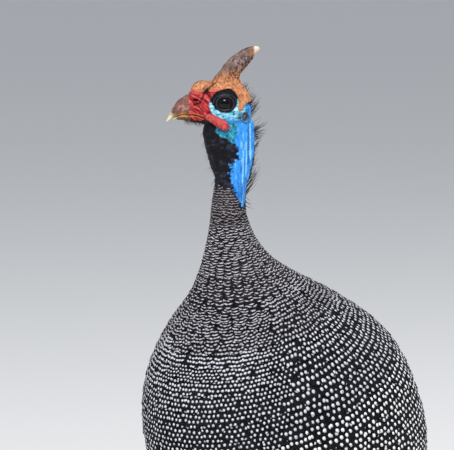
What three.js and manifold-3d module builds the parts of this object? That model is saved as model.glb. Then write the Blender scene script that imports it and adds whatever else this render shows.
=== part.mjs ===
// A helmeted guinea fowl as a still, life-size model: standing alert on both feet, head turned to its right.
// Millimetres, +Z up. The body faces -Y, its left side is +X, and the floor is z = 0.
import * as THREE from 'three';
import { mergeVertices } from 'three/addons/utils/BufferGeometryUtils.js';
import Module from 'manifold-3d';

const wasm = await Module();
wasm.setup();

// Driving dimensions
const GAP = 0.3; // between neighbouring pieces
const EYE_HEIGHT = 496.5; // floor to the middle of the eye
const HEAD_TURN = 50; // degrees from the body's heading to its right
const NECK_AXIS_Y = -82; // where the bare neck stands on the body
const STANCE = 36; // half the distance between the feet
const SHIFT_Y = -31; // puts the middle of the whole bird on the origin

const TRUNK_SIDES = 30;
const ROUNDNESS = 2.15; // exponent of the body's cross-section, 2 is an ellipse

// Neck and body as planar rings that fan from the neck down to the vent:
// [back y, back z, breast y, breast z, half width]
const TRUNK = [
  [-68, 411, -96.5, 411, 13.2],
  [-61.5, 397, -99, 394, 14.8],
  [-51, 381.5, -102, 375, 19.4],
  [-33.5, 366.5, -105, 354, 28],
  [-8, 353.5, -109.5, 331, 42],
  [21, 341.5, -126, 301, 61.5],
  [56, 326, -142, 266, 77.5],
  [91.5, 307.5, -145.5, 231, 87.5],
  [121, 285.5, -138.5, 198, 92],
  [138.5, 259, -118, 168, 93],
  [147, 234, -86, 142, 91],
  [152, 211, -41, 124, 83],
  [156, 189, 8, 115, 72],
  [161, 170, 57, 117, 57],
  [169, 153, 99, 128, 39],
  [180, 138, 130, 132, 23],
];
const NECK_ENDS = 4; // ring where the feathered neck meets the body
const TORSO_ENDS = 13; // ring where the body meets the tail

// Bare neck under the head, in the head's own frame: [up, front, back, half width]
const BARE_NECK = [
  [-8, 10, -18, 9],
  [-17, 15, -24.6, 12.6],
  [-24, 17.2, -25.6, 13.6],
  [-32, 16, -25.8, 13.6],
  [-40, 14.4, -25.8, 13],
  [-49, 12, -25, 12.4],
  [-55.5, 10, -23.8, 12.1],
  [-60.5, 7.9, -22.6, 12],
  [-68, 7.6, -19.8, 12.1],
  [-77, 8.8, -18.4, 12.6],
  [-85.5 + GAP, 10.2, -18.4, 13.2],
];
const HEAD_CUT = -25; // the head is parted from the neck at this height

// Skull and face, nape to bill: [forward, top, bottom, half width]
const SKULL = [
  [-22.6, 1, -13, 4],
  [-21, 6, -18, 8.4],
  [-17, 12, -23, 12],
  [-11, 16.5, -26, 13.8],
  [-4, 18.8, -26, 14.5],
  [3, 18.6, -24, 14.2],
  [9, 17, -21, 12.6],
  [14.5, 14.2, -18.6, 10.4],
  [19.5, 11.2, -17.2, 8.4],
  [24, 9, -16.6, 7],
  [27.5, 7.4, -16, 6],
];
const UPPER_BILL = [
  [27.5 + GAP, 7.4, -9.6, 6],
  [31, 6.2, -9.7, 5.4],
  [35, 3.8, -10.1, 4.6],
  [39, 0.2, -11.3, 3.6],
  [42.5, -5, -12.9, 2.5],
  [45.3, -10.6, -14.7, 1.5],
  [47.3, -15, -16.2, 0.5],
];
const LOWER_BILL = [
  [27.5 + GAP, -10, -16, 5.2],
  [32, -10.2, -14.9, 4.3],
  [36.5, -11, -14.3, 3.1],
  [40, -12.3, -14.1, 1.9],
  [41.6, -13.1, -14, 1],
];
// Horn of the casque, base to tip: [front forward, front up, back forward, back up, half width]
const HORN = [
  [13, 8, -15, 8, 9],
  [9.5, 17.5, -14.5, 15, 8.2],
  [7, 21.8, -13.4, 20.8, 6.6],
  [2.7, 26.6, -14.4, 24, 5.6],
  [-1.8, 32.6, -18.1, 28.1, 5],
  [-7.3, 38.1, -22.4, 33.1, 4.5],
  [-13.6, 42.3, -25.2, 38, 3.9],
  [-19, 44.8, -27.4, 40.6, 3],
  [-24.5, 46, -29.3, 42.8, 2],
  [-28, 45.9, -29.9, 44.4, 0.9],
];
// Lower edge of the casque's sheath on the side of the head, front to back: [forward, up]
const SHEATH = [
  [13, 26],
  [14, 11],
  [8.7, 9.2],
  [1.6, 11.4],
  [-4.2, 11.8],
  [-8.9, 8.1],
  [-11.2, 2.2],
  [-11, -4.2],
  [-12.1, -6.8],
  [-14.7, -4.2],
  [-17.6, 0],
  [-26, 4],
  [-26, 26],
];
const SHEATH_THICK = 1.7;
const EYE = { radius: 7.4, out: 9.2, openLong: 6, openHigh: 4.9, lidThick: 1.1 };
const EAR = { forward: -16.8, up: -11.2, out: 11.3, radius: 3.7, rim: 1, turn: 24 };

// Keeps a mesh's positions alone, merged, and turns it into a solid that faces out.
function solid(geometry) {
  const bare = new THREE.BufferGeometry().setAttribute('position', geometry.getAttribute('position'));
  if (geometry.index) bare.setIndex(geometry.index);
  const merged = mergeVertices(bare, 1e-4);
  return new wasm.Manifold(
    new wasm.Mesh({
      numProp: 3,
      vertProperties: new Float32Array(merged.attributes.position.array),
      triVerts: new Uint32Array(merged.index.array),
    }),
  );
}

const join = (solids) => solids.reduce((whole, one) => whole.add(one));
const largest = (whole) => whole.decompose().reduce((a, b) => (a.volume() > b.volume() ? a : b));
const tidied = (whole, tolerance = 0.08) => largest(whole.simplify(tolerance));

function geometryOf(whole) {
  const mesh = whole.getMesh();
  const positions = new Float32Array(mesh.numVert * 3);
  for (let i = 0; i < mesh.numVert; i++) {
    positions.set(mesh.vertProperties.subarray(i * mesh.numProp, i * mesh.numProp + 3), i * 3);
  }
  return new THREE.BufferGeometry()
    .setAttribute('position', new THREE.BufferAttribute(positions, 3))
    .setIndex(new THREE.BufferAttribute(mesh.triVerts, 1));
}

// A closed skin over rings of equal count. flip(j) says which quads take the other diagonal.
function loft(rings, flip = () => false) {
  const n = rings[0].length;
  const positions = rings.flat().flatMap((p) => [p.x, p.y, p.z]);
  const faces = [];
  for (let i = 0; i + 1 < rings.length; i++) {
    for (let j = 0; j < n; j++) {
      const [a, b] = [i * n + j, i * n + ((j + 1) % n)];
      const [c, d] = [a + n, b + n];
      faces.push(...(flip(j) ? [a, b, c, b, d, c] : [a, b, d, a, d, c]));
    }
  }
  for (const i of [0, rings.length - 1]) {
    const middle = rings[i].reduce((sum, p) => sum.clone().add(p), new THREE.Vector3()).divideScalar(n);
    positions.push(middle.x, middle.y, middle.z);
    const hub = positions.length / 3 - 1;
    for (let j = 0; j < n; j++) {
      const [a, b] = [i * n + j, i * n + ((j + 1) % n)];
      faces.push(...(i === 0 ? [hub, b, a] : [hub, a, b]));
    }
  }
  const at = (k) => new THREE.Vector3().fromArray(positions, faces[k] * 3);
  let volume = 0;
  for (let k = 0; k < faces.length; k += 3) volume += at(k).dot(at(k + 1).cross(at(k + 2)));
  if (volume < 0) faces.reverse();
  return new THREE.BufferGeometry()
    .setAttribute('position', new THREE.Float32BufferAttribute(positions, 3))
    .setIndex(faces);
}

const power = (value, exponent) => Math.sign(value) * Math.abs(value) ** exponent;

// Catmull-Rom between the rows of a table, at a row number that may be a fraction.
function rowAt(table, t) {
  const last = table.length - 1;
  const i = Math.min(last - 1, Math.max(0, Math.floor(t)));
  const f = t - i;
  const pick = (k) => table[Math.min(last, Math.max(0, k))];
  return table[i].map((_, c) => {
    const [p0, p1, p2, p3] = [i - 1, i, i + 1, i + 2].map((k) => pick(k)[c]);
    return p1 + 0.5 * f * (p2 - p0 + f * (2 * p0 - 5 * p1 + 4 * p2 - p3 + f * (3 * (p1 - p2) + p3 - p0)));
  });
}

// Neck and body

const BACK_TAPER = 0.07; // the body is a little narrower over the back than below

function trunkPoint(t, angle, grow = 0) {
  const [backY, backZ, breastY, breastZ, halfWidth] = rowAt(TRUNK, t);
  const up = new THREE.Vector3(0, (backY - breastY) / 2, (backZ - breastZ) / 2);
  const reach = 1 + grow / up.length();
  const c = power(Math.cos(angle), 2 / ROUNDNESS);
  const s = power(Math.sin(angle), 2 / ROUNDNESS) * (1 - BACK_TAPER * c);
  const middle = new THREE.Vector3(0, (backY + breastY) / 2, (backZ + breastZ) / 2);
  middle.x = (halfWidth + grow) * s;
  return middle.addScaledVector(up, c * reach);
}

function trunkRing(t, grow = 0, sides = TRUNK_SIDES) {
  return Array.from({ length: sides }, (_, j) => trunkPoint(t, (j / sides) * 2 * Math.PI, grow));
}

const spread = (from, to, steps) =>
  Array.from({ length: steps + 1 }, (_, i) => from + ((to - from) * i) / steps);
const trunkPiece = (numbers, grow = 0) => solid(loft(numbers.map((t) => trunkRing(t, grow))));

function trunkNormal(t, angle) {
  const step = 0.02;
  const along = trunkPoint(t + step, angle).sub(trunkPoint(t - step, angle));
  const around = trunkPoint(t, angle + step).sub(trunkPoint(t, angle - step));
  return along.cross(around).normalize().negate();
}

const PART_STEP = GAP / 34; // ring numbers that leave the gap, as rings lie about 34 mm apart
const NECK_RINGS = spread(0, NECK_ENDS, 8);
const TORSO_RINGS = spread(NECK_ENDS, TORSO_ENDS, 14);
const lessOne = (numbers) => [...numbers.slice(0, -1), numbers.at(-1) - PART_STEP];
const CUT = 1.3 * GAP; // as the cutter grows in the plane of each ring
const frontCutter = trunkPiece([...NECK_RINGS, ...TORSO_RINGS.slice(1)], CUT);
const trunkCutter = trunkPiece([...NECK_RINGS, ...TORSO_RINGS.slice(1), 14, 15], CUT);

// Head and bare neck, in a frame at the middle between the eyes: x forward, y left, z up

const toRadians = Math.PI / 180;
const headYaw = (270 - HEAD_TURN) * toRadians;
const NECK_MIDDLE = (BARE_NECK.at(-1)[1] + BARE_NECK.at(-1)[2]) / 2;
const headPlace = new THREE.Vector3(
  -NECK_MIDDLE * Math.cos(headYaw),
  NECK_AXIS_Y - NECK_MIDDLE * Math.sin(headYaw),
  EYE_HEIGHT,
);

// A ring across the forward axis. share is how far up its widest line lies.
function crossRing([forward, top, bottom, halfWidth], grow = 0, sides = 24, share = 0.5, roundness = 2.2) {
  const middle = bottom + (top - bottom) * share;
  return Array.from({ length: sides }, (_, j) => {
    const angle = (j / sides) * 2 * Math.PI;
    const c = power(Math.cos(angle), 2 / roundness);
    const s = power(Math.sin(angle), 2 / roundness);
    const half = c > 0 ? top - middle : middle - bottom;
    return new THREE.Vector3(forward, (halfWidth + grow) * s, middle + (half + grow) * c);
  });
}

function finer(table, steps) {
  return Array.from({ length: steps + 1 }, (_, i) => rowAt(table, ((table.length - 1) * i) / steps));
}

function skullSolid(grow = 0) {
  const rings = finer(SKULL, 11).map((row) => crossRing(row, grow, 22, 0.52, 2.3));
  rings[0].forEach((p) => (p.x -= grow));
  return solid(loft(rings));
}

// Rings of the bare neck turn from the head's heading at the top to the body's at the foot.
function neckSolid(grow = 0) {
  const rows = finer(BARE_NECK, 12);
  const [turnFrom, turnTo] = [-45, BARE_NECK.at(-1)[0]];
  return solid(
    loft(
      rows.map(([up, front, back, halfWidth]) => {
        const turned = THREE.MathUtils.smoothstep(-up, -turnFrom, -turnTo) * HEAD_TURN * toRadians;
        const [ahead, side] = [(front - back) / 2 + grow, halfWidth + grow];
        return Array.from({ length: 20 }, (_, j) => {
          const angle = (j / 20) * 2 * Math.PI;
          const [c, s] = [Math.cos(angle) * ahead, Math.sin(angle) * side];
          return new THREE.Vector3(
            (front + back) / 2 + c * Math.cos(turned) - s * Math.sin(turned),
            c * Math.sin(turned) + s * Math.cos(turned),
            up,
          );
        });
      }),
    ),
  );
}

const NECK_FOOT = BARE_NECK.at(-1)[0];

// The row number of the bare neck's table at a height.
function neckRow(up) {
  const i = BARE_NECK.findIndex(([low]) => low <= up);
  if (i <= 0) return 0;
  return i - 1 + (BARE_NECK[i - 1][0] - up) / (BARE_NECK[i - 1][0] - BARE_NECK[i][0]);
}

function ball(forward, left, up, radii, segments = 16) {
  const geometry = new THREE.SphereGeometry(1, segments, Math.round(segments * 0.6));
  geometry.scale(...radii).translate(forward, left, up);
  return solid(geometry);
}

// A ring that stands on its side, turned in degrees about the upright.
function ringOf(radius, thick, squash, turn, place, segments = 18) {
  const geometry = new THREE.TorusGeometry(radius, thick, 5, segments);
  geometry.scale(1, squash, 1).rotateX(Math.PI / 2).rotateZ(turn * toRadians).translate(...place);
  return solid(geometry);
}

function block(from, to) {
  const size = to.map((value, k) => value - from[k]);
  const geometry = new THREE.BoxGeometry(...size);
  geometry.translate(...from.map((value, k) => value + size[k] / 2));
  return solid(geometry);
}

const sides = [1, -1];
const eyeBall = (side, grow = 0, segments = 16) =>
  ball(0, side * EYE.out, 0, [EYE.radius + grow, EYE.radius + grow, EYE.radius + grow], segments);

// A flat-sided plate of the outline [forward, up], from y -reach to y reach.
function plate(outline, reach) {
  const shape = new THREE.Shape(outline.map(([forward, up]) => new THREE.Vector2(forward, up)));
  const geometry = new THREE.ExtrudeGeometry(shape, { depth: 2 * reach, bevelEnabled: false, steps: 1 });
  geometry.rotateX(Math.PI / 2).translate(0, reach, 0);
  return solid(geometry);
}

function fanLoft(table, steps, count, grow = 0) {
  return solid(
    loft(
      finer(table, steps).map(([frontX, frontZ, backX, backZ, halfWidth]) =>
        Array.from({ length: count }, (_, j) => {
          const angle = (j / count) * 2 * Math.PI;
          const c = Math.cos(angle);
          const half = new THREE.Vector2((frontX - backX) / 2, (frontZ - backZ) / 2);
          half.multiplyScalar(1 + grow / half.length());
          return new THREE.Vector3(
            (frontX + backX) / 2 + half.x * c,
            (halfWidth + grow) * Math.sin(angle),
            (frontZ + backZ) / 2 + half.y * c,
          );
        }),
      ),
    ),
  );
}

// Lumps under the skin: brow over each eye, cheek below it, and the corner of the jaw.
function faceLumps(grow = 0) {
  return sides.flatMap((side) => [
    ball(7, side * 9.6, 8.6, [8.5 + grow, 3.6 + grow, 3.2 + grow], 10),
    ball(1, side * 9.4, -12, [10 + grow, 4.6 + grow, 5.5 + grow], 10),
    ball(20, side * 5.6, -2.5, [6.5 + grow, 3 + grow, 5.5 + grow], 10),
  ]);
}

const headCore = (grow = 0) => join([skullSolid(grow), neckSolid(grow), ...faceLumps(grow)]);
const FRONT_KNOB = { forward: 17.4, up: 9.6, radii: [9.9, 6.6, 8.6] };

function casqueSolid() {
  const { forward, up, radii } = FRONT_KNOB;
  const sheath = skullSolid(SHEATH_THICK)
    .add(ball(7, 9.6, 8.6, [9.6, 4.6, 4.4], 12))
    .add(ball(7, -9.6, 8.6, [9.6, 4.6, 4.4], 12))
    .intersect(plate(SHEATH, 30));
  const whole = join([sheath, fanLoft(HORN, 13, 16), ball(forward, 0, up, radii, 16)]);
  const below = block([-60, -30, -60], [60, 30, -20]);
  return tidied(whole.subtract(headCore(GAP)).subtract(below));
}

// Bristles of the nape between two heights, bent up and back from one side of the midline.
const NAPE = { top: -4, foot: -84, each: 6.2, across: 5.2, thick: 0.5 };

function nape(side, from, to) {
  const hairs = [];
  const steps = Math.round((NAPE.top - NAPE.foot) / NAPE.each);
  for (let i = 0; i <= steps; i++) {
    const up = NAPE.top - i * NAPE.each - (side > 0 ? 0 : NAPE.each / 2);
    if (up < from || up > to) continue;
    const [, , back] = rowAt(BARE_NECK, neckRow(up));
    const share = (up - NAPE.foot) / (NAPE.top - NAPE.foot);
    const length = 8 + 8 * Math.exp(-(((share - 0.25) / 0.25) ** 2)) * (i % 2 ? 0.75 : 1);
    const left = side * NAPE.across * (0.35 + 0.3 * (i % 3));
    const sink = 2.2 + 0.5 * (left / NAPE.across) ** 2;
    const rise = 0.35 + 0.12 * (i % 4) - 0.5 * (1 - share);
    const stations = [0, 0.4, 0.75, 1].map((along) => [
      back + sink - (length + sink) * along * 0.9,
      left * (1 + 0.5 * along),
      up + length * (rise * along + 0.25 * along * along),
      NAPE.thick * (1 - 0.75 * along),
    ]);
    hairs.push(solid(tube(stations, 3)));
  }
  return hairs;
}

function wattleSolid(side) {
  // Flap at the corner of the mouth: [forward, up, left, half thickness, half depth]
  const line = [
    [17, -9.4, 8.6, 0.8, 1],
    [14.5, -10.4, 10, 1.6, 2.4],
    [10, -12.6, 11.8, 2, 3.4],
    [5, -15.4, 13.2, 2.2, 4.1],
    [0.2, -18.4, 14.2, 2, 3.7],
    [-3.2, -20.4, 14.4, 0.8, 1.4],
  ];
  const rings = finer(line, 10).map(([forward, up, left, thick, deep]) =>
    Array.from({ length: 10 }, (_, j) => {
      const angle = (j / 10) * 2 * Math.PI;
      const [c, s] = [Math.cos(angle) * deep, Math.sin(angle) * thick];
      return new THREE.Vector3(forward - 0.45 * c, side * (left + s - 0.1 * c), up + 0.88 * c);
    }),
  );
  return tidied(solid(loft(rings)).subtract(headCore(GAP)));
}

// Opening between the lids, as an oval bar that runs out of the side of the head.
function lidOpening(side) {
  const geometry = new THREE.CylinderGeometry(1, 1, 12, 18);
  geometry.scale(EYE.openLong, 1, EYE.openHigh).translate(0, side * (EYE.out + 8), 0);
  return solid(geometry);
}

function headSolid() {
  const orbit = (side) => ball(0, side * 16.6, 0, [10.4, 3.4, 9.4], 18);
  const earTurn = (side) => side * EAR.turn;
  const earRim = (side) =>
    ringOf(EAR.radius, EAR.rim, 1.1, earTurn(side), [EAR.forward, side * EAR.out, EAR.up], 12);
  const earHole = (side) => ball(EAR.forward - 0.6, side * (EAR.out + 1.2), EAR.up, [2.9, 2.8, 3.2], 10);
  const nostril = (side) => ball(22.6, side * 8.6, 1.8, [2.5, 1.7, 1.1], 8);
  const mouthLine = (side) => block([18.5, side > 0 ? 5.5 : -12, -10.2], [30, side > 0 ? 12 : -5.5, -9.5]);
  let head = headCore();
  for (const side of sides) {
    head = head.subtract(orbit(side));
    head = head.add(eyeBall(side, GAP + EYE.lidThick, 16)).add(earRim(side));
    for (const hair of nape(side, HEAD_CUT + 2, 0)) head = head.add(hair);
  }
  for (const side of sides) {
    head = head.subtract(lidOpening(side)).subtract(eyeBall(side, GAP)).subtract(earHole(side));
    head = head.subtract(nostril(side)).subtract(mouthLine(side));
  }
  const above = block([-60, -60, HEAD_CUT], [60, 60, 60]);
  const behindBill = block([-60, -60, -60], [27.5, 60, 60]);
  return tidied(head.intersect(above).intersect(behindBill));
}

function bareNeckSolid() {
  const hairs = sides.flatMap((side) => nape(side, NECK_FOOT + 3, HEAD_CUT - 4));
  const room = block([-60, -60, -130], [60, 60, HEAD_CUT - GAP]);
  return tidied(join([headCore(), ...hairs]).intersect(room));
}

const upperBill = solid(loft(finer(UPPER_BILL, 10).map((row) => crossRing(row, 0, 16, 0.25, 2))));
const lowerBill = solid(loft(finer(LOWER_BILL, 7).map((row) => crossRing(row, 0, 14, 0.75, 2))));

// Legs and feet

const FOOT = { y: 12, z: 11 };
const THIGH = [
  // [y, z, x out from the stance, half length, half width]
  [-6, 176, 10, 44, 26],
  [2, 150, 8, 41, 25],
  [10, 130, 6, 34, 21],
  [18, 114, 3.5, 24, 15.5],
  [26, 100, 1.5, 14.5, 10.5],
  [32, 90, 0, 8.4, 7.4],
  [33.6, 86.6, 0, 7, 6.8],
];
// Toes: [name, turn in degrees outward, length, root radius]
const TOES = [
  ['inner', -30, 38, 3.5],
  ['middle', 0, 50, 3.9],
  ['outer', 32, 40, 3.5],
  ['back', 172, 17, 2.7],
];
const CLAW_LENGTH = 11;
const FLAT = 0.9; // share of a toe's radius that its middle stands over the floor

// A tube of round rings along points, each [x, y, z, radius] or with a second radius up and down.
// level keeps the rings upright, as along a toe.
function tube(points, count = 10, level = false) {
  const middle = points.map(([x, y, z]) => new THREE.Vector3(x, y, z));
  return loft(
    points.map(([, , , radius, flat = radius], i) => {
      const ahead = middle[Math.min(i + 1, middle.length - 1)].clone().sub(middle[Math.max(i - 1, 0)]);
      if (level) ahead.z = 0;
      ahead.normalize();
      const spare = Math.abs(ahead.z) > 0.8 ? new THREE.Vector3(0, 1, 0) : new THREE.Vector3(0, 0, 1);
      const across = ahead.clone().cross(spare).normalize();
      const up = across.clone().cross(ahead).normalize();
      return Array.from({ length: count }, (_, j) => {
        const angle = (j / count) * 2 * Math.PI;
        return middle[i]
          .clone()
          .addScaledVector(across, radius * Math.cos(angle))
          .addScaledVector(up, flat * Math.sin(angle));
      });
    }),
  );
}

function thighSolid(side) {
  const rings = finer(THIGH, 12).map(([y, z, out, halfLength, halfWidth]) =>
    Array.from({ length: 18 }, (_, j) => {
      const angle = (j / 18) * 2 * Math.PI;
      const tilt = -0.35 * halfLength * Math.cos(angle) * THREE.MathUtils.smoothstep(z, 95, 140);
      return new THREE.Vector3(
        side * (STANCE + out) + halfWidth * Math.sin(angle),
        y + halfLength * Math.cos(angle),
        z + tilt,
      );
    }),
  );
  return tidied(solid(loft(rings)).subtract(trunkCutter));
}

function shankSolid(side) {
  const x = side * STANCE;
  const rows = [
    [x, 34.2, 86.2, 6.4, 6],
    [x, 34.6, 80, 6.6, 7],
    [x, 32, 71, 4.6, 5.6],
    [x, 28, 57, 3.9, 4.9],
    [x, 21.5, 36, 3.9, 4.9],
    [x, 17, 22, 4.6, 5.3],
    [x, 14.6, 14.5, 5.2, 5.4],
  ];
  return solid(tube(rows, 14)).intersect(block([-200, -200, 14], [200, 200, 86.2]));
}

// Rows of one toe from its root to its tip, then of its claw: [x, y, z, radius].
function toeRows(side, turn, length, radius) {
  const heading = -Math.PI / 2 + side * turn * toRadians;
  const rows = [];
  const steps = length > 20 ? 5 : 2;
  for (let i = 0; i <= steps; i++) {
    const along = i / steps;
    const pads = length > 20 ? 1 + 0.07 * Math.cos(along * 4 * Math.PI) : 1;
    const r = radius * (1 - 0.34 * along) * pads;
    rows.push([
      side * STANCE + Math.cos(heading) * length * along,
      FOOT.y + Math.sin(heading) * length * along,
      FLAT * r + (1 - along) ** 3 * 1.4,
      r,
    ]);
  }
  return { rows, heading };
}

function footSolid(side) {
  const toes = TOES.map(([, turn, length, radius]) =>
    solid(tube(toeRows(side, turn, length, radius).rows, 8, true)),
  );
  const hub = ball(side * STANCE, FOOT.y + 1, 6.8, [6.4, 7.4, 7.5], 12);
  const socket = solid(
    tube(
      [
        [side * STANCE, FOOT.y + 0.6, 6, 5.6, 5.6],
        [side * STANCE, 14.7, 15, 5.2, 5.4],
      ],
      14,
    ),
  );
  const room = block([-200, -200, 0], [200, 200, 14 - GAP]);
  return tidied(join([...toes, hub, socket]).intersect(room));
}

function clawSolid(side, turn, length, radius) {
  const { rows, heading } = toeRows(side, turn, length, radius);
  const [x, y, z, r] = rows.at(-1);
  const size = length > 20 ? 1 : 0.7;
  const steps = 4;
  const bend = Array.from({ length: steps + 1 }, (_, i) => {
    const along = i / steps;
    const reach = GAP + CLAW_LENGTH * size * along;
    const lift = 1.5 * size * Math.sin(along * Math.PI) * (1 - along * 0.5);
    return [
      x + Math.cos(heading) * reach,
      y + Math.sin(heading) * reach,
      Math.max(z + lift - (z - 1) * along ** 1.4, 0.6),
      Math.max(r * 0.92 * (1 - along ** 1.3), 0.35),
    ];
  });
  return largest(solid(tube(bend, 6, true)).intersect(block([-200, -200, 0], [200, 200, 50])));
}

// Wings and tail

// A vane: stations with a middle, an across and an up direction, a half width, a lift at one edge and a camber.
function vane(stations, thick = 0.8) {
  return solid(
    loft(
      stations.map(({ middle, across, up, half, tilt = 0, camber = 0 }) => {
        const at = (u, lift) =>
          middle
            .clone()
            .addScaledVector(across, u * half)
            .addScaledVector(up, lift + tilt * u + camber * (1 - u * u));
        return [at(-1, 0), at(0, 0), at(1, 0), at(1, -thick), at(0, -thick), at(-1, -thick)];
      }),
      (j) => j === 3 || j === 4,
    ),
  );
}

// Half width of a vane along its length, as a share of its widest.
const vaneWidth = (along) =>
  (0.62 + 0.38 * Math.sin(Math.min(1, along / 0.6) * (Math.PI / 2))) * vaneTip(along);
const vaneTip = (along) => Math.sqrt(Math.max(0.04, 1 - Math.max(0, (along - 0.72) / 0.29) ** 2));
const VANE_STEPS = [0, 0.45, 0.84, 1];

// Folded wing over the body's rings, shoulder to tip: [upper ring, upper angle, lower ring, lower angle]
const WING = [
  [6, 96, 6.6, 116],
  [5.9, 84, 7.6, 119],
  [6.3, 71, 8.5, 116],
  [7.1, 60, 9.3, 109],
  [8.1, 51, 10.1, 100],
  [9.2, 45, 10.9, 91],
  [10.3, 42, 11.6, 82],
  [11.3, 41, 12.2, 72],
  [12.2, 42, 12.7, 60],
  [12.8, 46, 12.9, 52],
];
const WING_THICK = 5.5;
// Tiers of the folded wing: [count, root share, length share, half width, height over the body]
const WING_TIERS = [
  [4, 0.6, 0.43, 13.5, 1.4],
  [6, 0.4, 0.4, 15, 3],
  [5, 0.2, 0.3, 16, 4.6],
];

// The left wing's surface point at shares along and down it, a height over the body.
function wingPoint(along, down, height) {
  const [upperRing, upperAngle, lowerRing, lowerAngle] = rowAt(WING, along * (WING.length - 1));
  const ring = THREE.MathUtils.lerp(upperRing, lowerRing, down);
  const angle = THREE.MathUtils.lerp(upperAngle, lowerAngle, down) * toRadians;
  return trunkPoint(ring, angle).addScaledVector(trunkNormal(ring, angle), height);
}

function wingPad() {
  const [across, along] = [4, 10];
  const layer = (outer) =>
    Array.from({ length: along + 1 }, (_, i) =>
      Array.from({ length: across + 1 }, (_, j) => {
        const bulge = (share) => Math.sqrt(Math.sin(Math.PI * THREE.MathUtils.clamp(share, 0.03, 0.97)));
        const rise = 0.9 + WING_THICK * bulge(j / across) * bulge((i / along) * 0.9);
        return wingPoint(i / along, j / across, outer ? rise : -3);
      }),
    );
  const [outside, inside] = [layer(true), layer(false)];
  return solid(loft(outside.map((row, i) => [...row, ...inside[i].slice().reverse()])));
}

// How far one vane lies over the next, top face to top face
const OVER = 1.25;
const WING_TILT = 0.8;

function wingVanes() {
  return WING_TIERS.flatMap(([count, root, length, half, height]) => {
    const lane = (k, step) => 0.5 + ((k + 0.5) / count - 0.5) * (1 - 0.2 * step);
    const place = (k, step) => {
      const along = Math.min(1.03, root + length * (1 - 0.25 * Math.abs(lane(k, 0) - 0.45)) * step);
      const point = (forth, down, lift = 0) => wingPoint(along + forth, lane(k, step) + down, lift);
      const across = point(0, 0.02).sub(point(0, -0.02)).normalize();
      const ahead = point(0.01, 0).sub(point(-0.01, 0)).normalize();
      const up = ahead.cross(across).normalize();
      if (up.x < 0) up.negate();
      return { middle: point(0, 0), across, up, half: half * vaneWidth(step), tilt: WING_TILT, camber: 0.5 };
    };
    return Array.from({ length: count }, (_, k) =>
      vane(
        VANE_STEPS.map((step) => {
          const station = place(k, step);
          let lift = height;
          for (let lower = k; lower + 1 < count; lower++) {
            const apart = place(lower, step).middle.distanceTo(place(lower + 1, step).middle);
            lift += Math.max(0, OVER - (WING_TILT * apart) / half);
          }
          station.middle.addScaledVector(station.up, lift);
          return station;
        }),
      ),
    );
  });
}

const mirrored = (whole) => whole.mirror([1, 0, 0]);
const leftWing = tidied(join([wingPad(), ...wingVanes()]).subtract(trunkCutter));

// Tail: a stub behind the vent with tiers of vanes that droop from it like a roof
const TAIL = { y: 148, z: 160, droop: 44, stubY: 192, stubZ: 121, stubHalf: 27 };
// Tiers of the tail: [count, length, half width, spread in degrees, height over the lowest]
const TAIL_TIERS = [
  [10, 88, 11, 27, 0],
  [6, 66, 13, 22, 6.5],
  [4, 46, 13, 17, 12],
];

function tailStub() {
  const rings = [];
  for (let t = TORSO_ENDS; t < TRUNK.length; t++) rings.push(trunkRing(t, 0, 24));
  const end = rings.at(-1).map((p) => {
    const out = p.x / TRUNK.at(-1)[4];
    return new THREE.Vector3(
      out * TAIL.stubHalf,
      TAIL.stubY - 6 * out * out + (p.z - 135) * 0.5,
      TAIL.stubZ - 2 * out * out + (p.z - 135) * 0.4,
    );
  });
  return solid(loft([...rings, end]));
}

function tailVanes() {
  const droop = TAIL.droop * toRadians;
  const rear = new THREE.Vector3(0, Math.cos(droop), -Math.sin(droop));
  const up = new THREE.Vector3(0, Math.sin(droop), Math.cos(droop));
  const left = new THREE.Vector3(1, 0, 0);
  return TAIL_TIERS.flatMap(([count, length, half, spread, height]) =>
    Array.from({ length: count }, (_, k) => {
      const out = ((k + 0.5) / count) * 2 - 1;
      const level = Math.abs(k - count / 2 + 0.25) * 2;
      const yaw = out * spread * toRadians;
      const ahead = rear.clone().multiplyScalar(Math.cos(yaw)).addScaledVector(left, Math.sin(yaw));
      const across = left.clone().multiplyScalar(Math.cos(yaw)).addScaledVector(rear, -Math.sin(yaw));
      const reach = length * (1 - 0.16 * out * out);
      return vane(
        VANE_STEPS.map((step) => ({
          middle: new THREE.Vector3(out * 15, TAIL.y, TAIL.z)
            .addScaledVector(ahead, reach * step)
            .addScaledVector(up, height - (level * OVER) / 2 - 5 * step * step),
          across,
          up,
          half: half * vaneWidth(step),
          camber: 0.4,
        })),
      );
    }),
  );
}

const tail = tidied(join([tailStub(), ...tailVanes()]).subtract(frontCutter));

// The bird

const SKIN = { feathers: 0x3c3d42, bareBlue: 0x4a9ee8, face: 0x70b8d4, horn: 0x8a6f62, casque: 0xb98a66 };
const material = (color, roughness = 0.8) =>
  new THREE.MeshStandardMaterial({ color, roughness, metalness: 0 });
const feathers = material(SKIN.feathers, 0.85);
const blueSkin = material(SKIN.bareBlue, 0.6);
const faceSkin = material(SKIN.face, 0.6);
const billHorn = material(SKIN.horn, 0.45);
const casqueHorn = material(SKIN.casque, 0.65);
const redSkin = material(0xa83030, 0.6);
const eyeGlass = material(0x0c0a0a, 0.05);
const legScales = material(0x3d3a3c, 0.6);
const clawHorn = material(0x2b2726, 0.45);

const bird = new THREE.Group();
const body = new THREE.Group();
const head = new THREE.Group();
bird.add(body);
body.position.set(0, SHIFT_Y, 0);
body.add(head);
head.position.copy(headPlace);
head.rotation.z = headYaw;

function place(group, name, whole, finish) {
  const mesh = new THREE.Mesh(geometryOf(whole), finish);
  mesh.name = name;
  group.add(mesh);
}

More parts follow.
